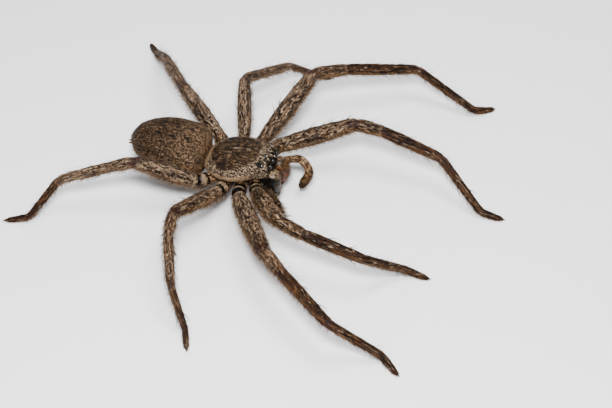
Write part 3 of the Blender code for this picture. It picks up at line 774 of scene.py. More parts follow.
@dataclass(frozen=True)
class CarapaceMarking(Marking):
    """Dark dome, pale flanks and a whitish face. Its zone is (dome, margin, face)."""

    name: str = "carapace"
    bump_depth: float = 0.08
    pale: Colour = shown(196, 180, 162)
    eye_marks: tuple = ((3.35, 4.9, 0.6), (1.1, 5.45, 0.42), (2.15, 6.5, 0.6), (0.72, 6.6, 0.5))
    glints: tuple = ((-0.45, -0.95, 0.9, 0.9), (-0.3, 1.6, 0.7, 0.5), (0.25, -0.3, 0.6, 0.4))

    def tone(self, board: Board) -> tuple[Wire, Wire]:
        """The marking's colour, and the height of its relief."""
        place, x, y, _ = board.attribute("place")
        _, dome, margin, face = board.attribute("zone")
        wander = board.noise(place, 0.8, 3.0)
        mottle = board.noise(board.stretched(place, (2.9, 2.6, 2.9)), 1.35, 3.0)
        streak = board.noise(board.stretched(place, (3.6, 0.7, 2.0)), 1.1, 2.0)
        top = board.mix(board.rise(mottle, 0.44, 0.56), shown(122, 101, 78), shown(42, 29, 20))
        top = board.mix(board.rise(streak, 0.52, 0.56) * 0.9, top, self.black)
        top = board.mix(board.rise(streak, 0.43, 0.38) * 0.7, top, shown(170, 156, 138))
        flank = board.mix(board.rise(mottle, 0.46, 0.51), shown(212, 198, 186), shown(42, 32, 25))
        colour = board.mix(board.rise(dome + wander * 0.9 - 0.45, 0.25, 0.7), flank, top)
        patch = board.rise((abs(x) - 4.2) * (abs(x) - 4.2) + (y + 2.7) * (y + 2.7), 2.6, 0.1)
        colour = board.mix(patch * 0.8, colour, shown(40, 23, 14))
        hairy = board.rise(face + wander * 0.8 - 0.4, 0.25, 0.75)
        hatch = board.noise(board.stretched(place, (4.6, 1.9, 3.0)), 1.15, 2.0)
        light = board.mix(board.rise(hatch, 0.45, 0.49), shown(246, 236, 222), shown(30, 20, 15))
        colour = board.mix(hairy, colour, light)
        colour = board.grained(colour, board.stretched(place, (3.6, 3.0, 3.6)), 1.3, 0.1, 2.4)
        for across, along, radius in self.eye_marks:
            mark = (abs(x) - across) * (abs(x) - across) + (y - along) * (y - along) * 0.6
            near = radius * radius
            colour = board.mix(board.rise(mark, near, near * 0.4), colour, self.black)
        for across, along, length, strength in self.glints:
            off = (x - across) * (x - across) * 16.0 + (y - along) * (y - along) * (1 / length**2)
            colour = board.mix(board.rise(off, 1.0, 0.2) * strength, colour, shown(240, 232, 224))
        patchy = board.rise(mottle, 0.56, 0.48) * 0.5 + 0.5
        rim = board.rise(margin, 0.3, 0.7) * patchy * board.rise(y, 4.5, 1.5)
        colour = board.mix(rim, colour, shown(246, 222, 196))
        colour = board.mix(board.rise(y, 6.38, 6.6), colour, self.black)
        return colour, mottle + streak * 0.6


@dataclass(frozen=True)
class TrunkMarking(Marking):
    """Flecked tan of the abdomen, and the body between the legs in near black, partly its own dark colour and
    partly painted shade. Its zone is (abdomen, top, rear).
    """

    name: str = "trunk"
    bump_depth: float = 0.08
    dimples: tuple = ((1.5, -11.2), (1.9, -14.4), (1.7, -17.2))

    def tone(self, board: Board) -> tuple[Wire, Wire]:
        """The marking's colour, and the height of its relief."""
        place, x, y, _ = board.attribute("place")
        _, abdomen, top, rear = board.attribute("zone")
        wander = board.noise(place, 0.3, 3.0)
        fleck = board.noise(board.stretched(place, (2.8, 2.4, 2.8)), 1.45, 2.0)
        colour = board.mix(rear, shown(172, 150, 130), shown(82, 65, 52))
        colour = board.mix(board.rise(wander, 0.42, 0.62) * 0.45, colour, shown(84, 64, 48))
        colour = board.mix(board.rise(top, 0.65, 0.4) * 0.7, colour, shown(204, 156, 110))
        rim = board.rise(y, -7.75, -7.45) * abdomen
        colour = board.mix(rim * 0.5, colour, shown(134, 88, 56))
        colour = board.mix(board.rise(fleck, 0.46, 0.42) * 0.55, colour, shown(196, 176, 154))
        colour = board.mix(board.rise(fleck, 0.5, 0.53) * 0.92, colour, shown(26, 16, 11))
        colour = board.grained(colour, board.stretched(place, (2.4, 2.0, 2.4)), 1.25, 0.1, 2.4)
        # Painted shade: black in the pits that the trunk's skin sinks at the same dimples.
        middle = x + abs(y + 7.4) * 0.11 + 0.4
        for side, along in self.dimples:
            mark = (abs(middle) - side) * (abs(middle) - side) * 1.6 + (y - along) * (y - along) * 0.5
            colour = board.mix(board.rise(mark, 0.3, 0.1) * 0.95, colour, self.black)
        # The body between the legs: its own dark colour deepened into painted shade for the shadow under the
        # carapace.
        dark = board.grained(shown(24, 16, 12), place, 2.0, 0.5, 1.5)
        return board.mix(abdomen, dark, colour), fleck + wander * 0.4


@dataclass(frozen=True)
class JawMarking(Marking):
    """Chelicerae: speckled beige above, black on the outside, orange-brown with dark ridges on the inside."""

    name: str = "jaw"
    bump_depth: float = 0.09
    roughness: float = 0.38
    specular: float = 0.22
    pale: Colour = shown(190, 164, 132)

    def tone(self, board: Board) -> tuple[Wire, Wire]:
        """The marking's colour, and the height of its relief."""
        place, x, y, z = board.attribute("place")
        wander = board.noise(place, 1.1, 3.0)
        height = z + wander * 1.2
        ridge = board.noise(board.stretched(place, (0.8, 0.5, 1.8)), 1.15, 1.0)
        inside = board.ramp(board.spread(height, 0.0, 5.5, 0.0, 1.0), (
            (0.0, shown(206, 150, 128)), (0.12, shown(226, 88, 40)), (0.28, shown(184, 92, 48)),
            (0.6, shown(156, 98, 54)), (0.8, shown(160, 118, 76)), (0.95, shown(214, 190, 158)),
        ))
        inside = board.mix(board.rise(ridge, 0.47, 0.52) * 0.85, inside, shown(30, 16, 12))
        inside = board.mix(board.rise(y, 9.15, 9.5) * 0.6, inside, shown(84, 72, 66))
        speckle = board.noise(place, 2.6, 2.0)
        side = board.mix(board.rise(speckle, 0.5, 0.56), shown(226, 212, 188), shown(50, 40, 32))
        near = board.rise(x, 0.0, 0.2) * 0.8
        outside = board.rise(abs(x) - (y - 7.5) * 0.9 + wander * 0.8 + near, 1.9, 2.5)
        colour = board.mix(outside, inside, side)
        black = board.rise(height - abs(x) * 0.8, 2.35, 1.8) * outside
        colour = board.mix(black, colour, self.black)
        # Painted shade: black on the inner faces where the two jaws meet.
        between = board.rise(abs(x), 0.5, 0.25)
        colour = board.mix(between * 0.95, colour, self.black)
        return board.grained(colour, place, 3.6, 0.3, 1.9), ridge + wander * 0.4


@dataclass(frozen=True)
class Chitin:
    """Hard bare shell, such as a fang, a claw or a spine."""

    name: str
    colour: Colour
    tip: Colour
    roughness: float

    def material(self) -> bpy.types.Material:
        """The shell's material."""
        board = Board(self.name)
        place, _, _, _ = board.attribute("place")
        _, along, chance, _ = board.attribute("hair")
        grain = board.noise(place, 3.0, 2.0)
        colour = board.mix(board.rise(along, 0.2, 1.0), self.colour, self.tip)
        colour = board.mix(board.rise(grain, 0.45, 0.7) * 0.3, colour, shown(40, 22, 14))
        rough = chance * 0.08 + grain * 0.12 + self.roughness
        return board.surface(Base_Color=colour, Roughness=rough, Specular_IOR_Level=0.5)


@dataclass(frozen=True)
class Lens:
    """Polished eye."""

    name: str = "eye_lens"

    def material(self) -> bpy.types.Material:
        """The eye's material."""
        board = Board(self.name)
        coordinates = board.node("ShaderNodeTexCoord", {}, {}).outputs["Object"]
        cloud = board.noise(Wire(board, coordinates), 900.0, 2.0)
        colour = board.mix(cloud, (0.0004, 0.0004, 0.0006), (0.001, 0.001, 0.002))
        return board.surface(Base_Color=colour, Roughness=0.07, Specular_IOR_Level=0.8)


# Limbs

Profile = tuple[tuple[float, float], ...]


@dataclass(frozen=True)
class Limb:
    """A jointed limb: its joints, how far from each its bend begins, and each length's radius along it."""

    joints: np.ndarray
    setbacks: tuple[float, ...]
    profiles: tuple[Profile, ...]
    girths: tuple[float, ...]
    up: np.ndarray
    height_ratio: float
    spacing: float = 0.55
    sides: int = 20
    inset: float = 0.06
    groove: float = 0.1
    joint: float = 0.9

    def arc(self, i: int, t: np.ndarray) -> np.ndarray:
        """Points round a joint's bend, for t from 0 to 1."""
        joint, setback = self.joints[i], self.setbacks[i - 1]
        start = joint + unit(self.joints[i - 1] - joint) * setback
        end = joint + unit(self.joints[i + 1] - joint) * setback
        t = t[:, None]
        return start * (1 - t) ** 2 + joint * (2 * t * (1 - t)) + end * t**2

    def length(self, i: int) -> tuple[np.ndarray, np.ndarray]:
        """Places down the middle of one length, closer at its joints, and their fractions along it."""
        line = [self.joints[i][None]] if i == 0 else [self.arc(i, np.linspace(0.5, 1, 12))]
        if i < len(self.joints) - 2:
            line.append(self.arc(i + 1, np.linspace(0, 0.5, 12)))
        else:
            line.append(self.joints[-1][None])
        line = np.concatenate(line)
        run = np.append(0, np.cumsum(np.linalg.norm(np.diff(line, axis=0), axis=1)))
        count = max(int(run[-1] / self.spacing), 6)
        at = 0.5 - 0.5 * np.cos(np.pi * np.arange(count + 1) / count)
        at = at * 0.7 + np.arange(count + 1) / count * 0.3
        return np.stack([np.interp(at * run[-1], run, line[:, k]) for k in range(3)], axis=1), at

    def surface(self, seed: float, floor: bool = False) -> tuple[Surface, np.ndarray]:
        """The limb's surface.

        Args:
            seed: a shift of the marking, so that no two limbs are alike.
            floor: whether the limb stands on the floor, which flattens it there.

        Returns:
            The surface, and each ring's length number plus its fraction along that length.
        """
        middles, keys, radii, joint = [], [], [], []
        for i, (profile, girth) in enumerate(zip(self.profiles, self.girths)):
            places, at = self.length(i)
            skip = 1 if i else 0
            size = np.linalg.norm(places[-1] - places[0])
            near = np.minimum(at, 1 - at) * size
            radius = np.interp(at, *zip(*profile)) * girth
            radius *= 1 - self.groove * np.exp(-((near / 0.2) ** 2)) + 0.04 * hump(near, 0.55, 0.25)
            middles.append(places[skip:])
            keys.append(at[skip:] + i)
            radii.append(radius[skip:])
            joint.append(np.exp(-((near[skip:] / self.joint) ** 2)))
        middles, keys, radii, joint = (np.concatenate(values) for values in (middles, keys, radii, joint))
        radii = np.convolve(np.pad(radii, 1, mode="edge"), (0.25, 0.5, 0.25), mode="valid") - self.inset
        tangents = unit(np.gradient(middles, axis=0))
        across = unit(np.cross(tangents, self.up))
        top = unit(np.cross(across, tangents))
        turns = 2 * np.pi * np.arange(self.sides) / self.sides - np.pi / 2
        cos, sin = np.cos(turns)[None, :, None], np.sin(turns)[None, :, None]
        wide = radii[:, None, None]
        rings = middles[:, None] + across[:, None] * (wide * cos)
        rings = rings + top[:, None] * (wide * self.height_ratio * sin)
        run = np.append(0, np.cumsum(np.linalg.norm(np.diff(middles, axis=0), axis=1)))
        lumps = 0.02 * np.sin(run[:, None] * 1.7 + seed + 2 * turns)
        lumps = lumps + 0.015 * np.sin(run[:, None] * 3.1 + 3 * turns)
        rings = middles[:, None] + (rings - middles[:, None]) * (1 + lumps[..., None])
        steps = 5
        rings = closed(rings, radii[0] * 0.5, radii[-1] * 0.8, steps)
        if floor:
            rings[..., 2] = np.maximum(rings[..., 2], 0)
        run, keys, joint = (np.pad(values, steps, mode="edge") for values in (run, keys, joint))
        keys[:steps] -= np.linspace(0.01, 0.002, steps)
        keys[-steps:] += np.linspace(0.002, 0.01, steps)
        shape = rings.shape[:2]
        place = np.stack([
            np.broadcast_to(run[:, None] + seed * LEG_OFFSET, shape),
            np.broadcast_to(1.5 * np.cos(turns), shape),
            np.broadcast_to(1.5 * np.sin(turns), shape),
        ], axis=-1)
        zone = np.stack([
            np.broadcast_to(joint[:, None], shape),
            np.broadcast_to(np.sin(turns) / 2 + 0.5, shape),
            np.zeros(shape),
        ], axis=-1)
        return Surface(rings, place, zone), keys


@dataclass(frozen=True)
class LegPose:
    """Where a leg's joints stand beyond the hip, in millimetres, before the model is centred."""

    knee: tuple[float, float, float]
    patella_end: tuple[float, float, float]
    tibia_end: tuple[float, float, float]
    heel: tuple[float, float, float]
    tip: tuple[float, float, float]


POSES = {
    "l1": LegPose(
        (13.6, -20.2, 11.5), (13.5, -25.9, 10.9), (12.3, -38.5, 7.8),
        (5.9, -48.5, 1.3), (5.9, -52.9, 0.42),
    ),
    "l2": LegPose(
        (26.8, -7.3, 11.5), (30.9, -13.6, 10.8), (38.5, -27.2, 7.9),
        (36.2, -40.7, 1.4), (38.9, -44.3, 0.42),
    ),
    "l3": LegPose(
        (19.9, 5.9, 12.5), (24.4, 4.4, 10.4), (33.8, 0.2, 6.4),
        (38.6, -3.9, 1.3), (39.3, -7.6, 0.42),
    ),
    "l4": LegPose(
        (15.4, 18.2, 11.3), (19.6, 21.2, 10.5), (28.2, 26.9, 7.2),
        (35.6, 31.5, 1.4), (39.2, 34.5, 0.42),
    ),
    "r1": LegPose(
        (-19.7, -13.7, 13.1), (-20.3, -18.7, 11.5), (-21.2, -31.0, 9.1),
        (-14.1, -38.0, 1.2), (-14.4, -42.2, 0.42),
    ),
    "r2": LegPose(
        (-24.9, -12.1, 9.8), (-29.8, -17.0, 10.2), (-39.3, -29.0, 9.4),
        (-36.9, -38.8, 1.2), (-39.8, -42.4, 0.42),
    ),
    "r3": LegPose(
        (-20.8, 7.7, 10.7), (-26.4, 6.7, 10.2), (-36.5, 2.7, 7.4),
        (-41.1, -1.5, 1.3), (-44.7, -2.9, 0.42),
    ),
    "r4": LegPose(
        (-10.7, 19.3, 12.3), (-11.9, 23.9, 10.8), (-15.3, 33.9, 7.8),
        (-20.9, 38.8, 1.3), (-22.3, 43.3, 0.42),
    ),
}


@dataclass
class Legs:
    """The eight legs: one skin each from the body to the toe, with spines, claws and hair."""

    body: BodyFrame
    coxa_roots: tuple = ((2.95, 3.5, 2.3), (3.3, 1.15, 2.3), (3.3, -1.4, 2.3), (2.7, -3.9, 2.3))
    hips: tuple = ((7.12, 5.26, 3.31), (8.6, 1.85, 3.22), (8.17, -2.18, 3.05), (7.15, -7.06, 3.5))
    girths: tuple[float, ...] = (1.0, 1.0, 0.84, 0.9)
    setbacks: tuple[float, ...] = (1.2, 1.7, 1.2, 1.5, 1.0, 0.5)
    height_ratio: float = 1.06
    hair_ceiling: float = 12.6
    toe_length: float = 1.3
    toe_height: float = 0.42
    profiles: tuple[Profile, ...] = (
        ((0.0, 1.15), (0.35, 1.45), (0.6, 1.45), (0.7, 1.25), (0.78, 1.52), (0.88, 1.66), (1.0, 1.45)),
        ((0.0, 1.42), (0.15, 1.64), (0.45, 1.87), (0.75, 1.72), (0.93, 1.5), (1.0, 1.42)),
        ((0.0, 1.32), (0.5, 1.4), (1.0, 1.24)),
        ((0.0, 1.22), (0.3, 1.28), (0.8, 1.12), (1.0, 1.04)),
        ((0.0, 1.0), (0.5, 0.9), (1.0, 0.8)),
        ((0.0, 0.8), (1.0, 0.72)),
        ((0.0, 0.72), (0.5, 0.64), (1.0, 0.42)),
    )
    reach: Stations = ((0, 0.0), (1, 0.1), (2, 0.36), (3, 0.44), (4, 0.7), (5, 0.9), (6, 0.98), (7, 1.0))
    hind_reach: Stations = (
        (0, 0.0), (1, 0.1), (2, 0.35), (2.5, 0.42), (3, 0.38), (4, 0.4), (5, 0.8), (6, 0.98), (7, 1.0),
    )
    joint_tint: Stations = (
        (0.5, 0), (1, 0.2), (1.5, 0.5), (2, 1), (2.5, 0.9), (3, 0.5), (4, 0.6), (5, 0.3), (7, 0),
    )
    fringe_growth: Stations = ((0.8, 0), (1.1, 1.2), (2, 1.0), (4, 0.8), (4.6, 0.4), (5.2, 0))
    stray_growth: Stations = ((0.9, 0), (1.2, 1), (5, 1), (5.6, 0))
    mane_growth: Stations = ((1.05, 0), (1.3, 1), (1.9, 1), (2.05, 0))
    femur_spines: tuple = (
        (0.3, 92), (0.54, 86), (0.78, 94), (0.4, 38), (0.66, 44), (0.86, 40),
        (0.42, 142), (0.68, 138), (0.88, 140),
    )
    tibia_spines: tuple = (
        (0.2, -58), (0.2, -122), (0.48, -56), (0.48, -124), (0.76, -58), (0.76, -122),
        (0.32, 18), (0.7, 22), (0.34, 160), (0.68, 158),
    )
    shin_spines: tuple = ((0.14, -55), (0.14, -125), (0.46, -56), (0.46, -124), (0.62, 12), (0.6, 168))
    erect_spines: tuple = ((0.3, 118), (0.37, 104))
    bare_keys: tuple = (0.3, 0.45, 0.62, 0.68, 0.78, 0.84, 0.96, 0.99, 1.04, 1.08)
    spine: Tuft = Tuft(
        2.3, 0.1, 27, curl=0.12, spread=0.2, sway=6, flatness=1.0, levels=5, sides=6, sunk=0.2,
    )
    erect_spine: Tuft = Tuft(
        2.8, 0.09, 62, curl=0.1, spread=0.1, sway=4, flatness=1.0, levels=5, sides=6, sunk=0.2,
    )
    claw: Tuft = Tuft(
        0.85, 0.16, 12, curl=0.35, spread=0.05, sway=2, flatness=0.7, levels=6, sides=7, sunk=0.25,
    )
    nap: Tuft = Tuft(0.44, 0.05, 18, sway=18, density=19)
    fringe: Tuft = Tuft(1.05, 0.055, 60, curl=0.15, spread=0.2, sway=8, kind=0.95, density=17)
    mane: Tuft = Tuft(1.9, 0.05, 44, curl=0.15, spread=0.35, sway=16, levels=3, kind=0.1, density=16)
    stray: Tuft = Tuft(
        2.0, 0.024, 62, curl=0.25, spread=0.35, sway=30, flatness=0.8, levels=3, kind=0.7, density=1.5,
    )
    brush: Tuft = Tuft(0.5, 0.05, 60, curl=0.15, sway=25, density=26)
    skin: bpy.types.Material = field(default_factory=lambda: LegMarking().skin())
    coat: bpy.types.Material = field(default_factory=lambda: LegMarking().coat())
    horn: bpy.types.Material = field(
        default_factory=lambda: Chitin("spine", shown(30, 20, 15), shown(54, 36, 24), 0.35).material()
    )

    def limb(self, name: str) -> Limb:
        """The limb of one leg, named by its side and number."""
        side = Side.LEFT if name[0] == "l" else Side.RIGHT
        number, pose = int(name[1]) - 1, POSES[name]
        mirror = np.array([side.value, 1, 1])
        starts = (self.coxa_roots[number], self.hips[number])
        root, hip = (self.body.to_model(np.array(place) * mirror) for place in starts)
        places = (pose.knee, pose.patella_end, pose.tibia_end, pose.heel, pose.tip)
        knee, patella_end, tibia_end, heel, tip = (np.array(place) + self.body.shift for place in places)
        flat = unit((tip - heel) * (1, 1, 0))
        toe = tip - flat * self.toe_length
        toe[2] = self.toe_height + 0.1
        girth = self.girths[number]
        return Limb(
            np.array([root, hip, knee, patella_end, tibia_end, heel, toe, tip]), self.setbacks, self.profiles,
            (1.0, *[girth] * 6), UP, self.height_ratio,
        )

    def build(self) -> None:
        """Makes every leg."""
        for order, name in enumerate(POSES):
            surface, keys = self.limb(name).surface(order + 1.0, floor=True)
            reach = self.hind_reach if name[1] in "34" else self.reach
            surface.zone[..., 2] = np.interp(keys, *zip(*reach))[:, None]
            weight = np.interp(keys, *zip(*self.joint_tint))
            surface.zone[..., 0] *= weight[:, None]
            skin = surface.skin(f"leg_{name}_skin")
            skin.data.materials.append(self.skin)
            lengths = ("coxa", "femur", "patella", "tibia", "foot")
            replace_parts(skin, *(f"leg_{name}_{length}" for length in lengths))
            pieces = [skin, self.spines(name, surface, keys, order), self.claws(name, surface, keys, order)]
            pieces.append(self.hair(name, surface, keys, order))
            for piece in pieces:
                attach(piece, BODY)
            log.info("leg %s is made", name)

    def spots(self, surface: Surface, keys: np.ndarray, length: Length, places: tuple) -> Roots:
        """Roots at (fraction along, degrees round) of one length."""
        along, degrees = np.array(places, float).T
        rows = np.interp(along + length.value, keys, np.arange(len(keys)))
        sides = surface.rings.shape[1]
        return surface.at(rows, (degrees + 90) / 360 * sides)

    def spines(self, name: str, surface: Surface, keys: np.ndarray, order: int) -> bpy.types.Object:
        """The dark spines of one leg."""
        spines = Coat(f"leg_{name}_spines", 100 + order)
        rows = (
            (Length.FEMUR, self.femur_spines),
            (Length.TIBIA, self.tibia_spines),
            (Length.METATARSUS, self.shin_spines),
        )
        for length, places in rows:
            roots = self.spots(surface, keys, length, places)
            spines.grow(roots.only(roots.spots[:, 2] > 1.2), self.spine)
        if name == "l2":
            spines.grow(self.spots(surface, keys, Length.FEMUR, self.erect_spines), self.erect_spine)
        return spines.finish(self.horn)

    def claws(self, name: str, surface: Surface, keys: np.ndarray, order: int) -> bpy.types.Object:
        """The two claws at the end of one leg."""
        claws = Coat(f"leg_{name}_claws", 200 + order)
        claws.grow(self.spots(surface, keys, Length.TOE, ((0.97, 40), (0.97, 140))), self.claw)
        return claws.finish(self.horn)

    def hair(self, name: str, surface: Surface, keys: np.ndarray, order: int) -> bpy.types.Object:
        """The nap, fringes, fine standing hairs and foot brushes of one leg."""
        coat = Coat(f"leg_{name}_coat", 300 + order)
        draw = coat.draw
        outside = np.interp(keys, self.bare_keys, (0, 1, 1, 0, 0, 1, 1, 0, 0, 1))[:, None]
        if name[0] == "l":
            outside = smooth_step(0.2, 0.4, keys)[:, None]
        level = surface.zone[..., 1] * 2 - 1
        outside = outside * (1 - 0.6 * surface.zone[..., 0])
        coat.grow(surface.scatter(self.nap.density * outside, draw), self.nap)
        sides = hump(level, -0.5, 0.35) * np.interp(keys, *zip(*self.fringe_growth))[:, None]
        coat.grow(surface.scatter(self.fringe.density * sides, draw), self.fringe)
        if name == "r1":
            ahead = smooth_step(0.1, 0.8, -surface.place[..., 1] / 1.5)
            length = np.interp(keys, *zip(*self.mane_growth))[:, None]
            mane = surface.scatter(self.mane.density * ahead * length, draw)
            coat.grow(mane.only(mane.spots[:, 2] < self.hair_ceiling), self.mane)
        length = np.interp(keys, *zip(*self.stray_growth))[:, None]
        stray = surface.scatter(self.stray.density * length, draw)
        coat.grow(stray.only(stray.spots[:, 2] < self.hair_ceiling), self.stray)
        feet = np.interp(keys, (4.1, 4.6, 7), (0, 1, 1))[:, None] * smooth_step(-0.3, 0.3, -level)
        coat.grow(surface.scatter(self.brush.density * feet, draw), self.brush)
        return coat.finish(self.coat)


@dataclass
class Palps:
    """The two pedipalps with their endites: the left one hooked forward, the right one tucked under."""

    body: BodyFrame
    root: tuple = ((2.5, 6.0, 0.8), (3.9, 6.3, 0.85))
    beyond: dict = field(default_factory=lambda: {
        Side.LEFT: (
            (4.95, 7.5, 1.95), (4.45, 10.9, 3.4), (3.6, 12.8, 2.6), (3.1, 13.3, 0.8), (1.9, 11.9, -1.5),
        ),
        Side.RIGHT: (
            (4.9, 7.2, 1.5), (4.7, 8.8, -1.7), (4.0, 7.6, -2.55), (3.1, 6.1, -2.3), (2.1, 3.4, -1.7),
        ),
    })
    setbacks: tuple[float, ...] = (0.5, 0.6, 0.8, 0.8, 0.7)
    profiles: tuple[Profile, ...] = (
        ((0.0, 0.5), (1.0, 0.62)),
        ((0.0, 0.64), (1.0, 0.72)),
        ((0.0, 0.72), (0.3, 0.78), (1.0, 0.88)),
        ((0.0, 0.86), (0.5, 0.92), (1.0, 0.86)),
        ((0.0, 0.86), (0.6, 0.95), (1.0, 0.95)),
        ((0.0, 0.95), (0.35, 1.02), (0.8, 1.0), (1.0, 0.85)),
    )
    tones: dict = field(default_factory=lambda: {
        Side.LEFT: (0.0, 0.1, 0.3, 0.5, 0.65, 0.8, 1.0),
        Side.RIGHT: (0.0, 0.05, 0.1, 0.15, 0.15, 0.15, 0.15),
    })
    endite_path: tuple = ((1.75, 7.0, 0.72), (2.2, 6.3, 0.72), (2.7, 5.5, 0.78), (3.1, 4.9, 0.85))
    endite_radii: tuple[float, ...] = (0.4, 0.66, 0.66, 0.4)
    nap: Tuft = Tuft(0.38, 0.045, 22, sway=20, density=34)
    stray: Tuft = Tuft(0.9, 0.026, 55, curl=0.2, spread=0.35, sway=30, levels=3, kind=0.6, density=3.5)
    skin: bpy.types.Material = field(default_factory=lambda: PalpMarking().skin())
    coat: bpy.types.Material = field(default_factory=lambda: PalpMarking().coat())

    def build(self) -> None:
        """Makes both palps."""
        for side in Side:
            mirror = np.array([side.value, 1, 1])
            joints = self.body.to_model(np.array(self.root + self.beyond[side]) * mirror)
            across = self.body.turn(np.array([1.0, 0, 0]))
            limb = Limb(
                joints, self.setbacks, self.profiles, (1.0,) * 6, across, height_ratio=1.0,
                spacing=0.35, sides=16, inset=0.05, groove=0.08, joint=0.4,
            )
            surface, keys = limb.surface(20.0 + side.value)
            tones = self.tones[side]
            surface.zone[..., 2] = np.interp(keys, range(len(tones)), tones)[:, None]
            surface.zone[keys > 5.5, :, 0] = 0
            skin = surface.skin(f"palp_{side.letter}_skin")
            skin.data.materials.append(self.skin)
            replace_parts(skin, f"pedipalp_{side.letter}")
            coat = Coat(f"palp_{side.letter}_coat", 400 + side.value)
            for tuft, low, high in ((self.nap, 0.8, 1.4), (self.stray, 1.0, 1.6)):
                growth = tuft.density * smooth_step(low, high, keys)[:, None]
                coat.grow(surface.scatter(growth, coat.draw), tuft)
            endite = tube(self.body, np.array(self.endite_path) * mirror, self.endite_radii, 14)
            endite_skin = endite.skin(f"endite_{side.letter}_skin")
            endite_skin.data.materials.append(self.skin)
            for piece in (skin, coat.finish(self.coat), endite_skin):
                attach(piece, BODY)
        log.info("palps are made")


def tube(body: BodyFrame, path: np.ndarray, radii: tuple[float, ...], sides: int, rows: int = 24) -> Surface:
    """A round tube through places of the body frame, closed by domes.

    Args:
        body: the body frame.
        path: places down its middle.
        radii: its radius at each of them.
        sides: points in each ring.
        rows: the number of rings.
    """
    stations = np.linspace(0, len(path) - 1, rows)
    knots = np.arange(len(path))
    middles = np.stack([smooth_curve(tuple(zip(knots, path[:, k])), stations) for k in range(3)], axis=1)
    radii = smooth_curve(tuple(zip(knots, radii)), stations)
    tangents = unit(np.gradient(middles, axis=0))
    across = unit(np.cross(tangents, UP))
    top = unit(np.cross(across, tangents))
    turns = 2 * np.pi * np.arange(sides) / sides
    ring = across[:, None] * np.cos(turns)[None, :, None] + top[:, None] * np.sin(turns)[None, :, None]
    rings = middles[:, None] + ring * radii[:, None, None]
    rings = closed(rings, radii[0] * 0.6, radii[-1] * 0.6)
    zone = np.zeros(rings.shape)
    zone[..., 1] = 0.5
    return Surface(body.to_model(rings), rings.copy(), zone)


# Body

EYES = (
    ("front_middle", (0.72, 6.88, 6.4), 0.42),
    ("front_side", (2.15, 6.75, 6.0), 0.46),
    ("rear_middle", (1.1, 5.5, 7.47), 0.34),
    ("rear_side", (3.2, 5.4, 6.75), 0.42),
)


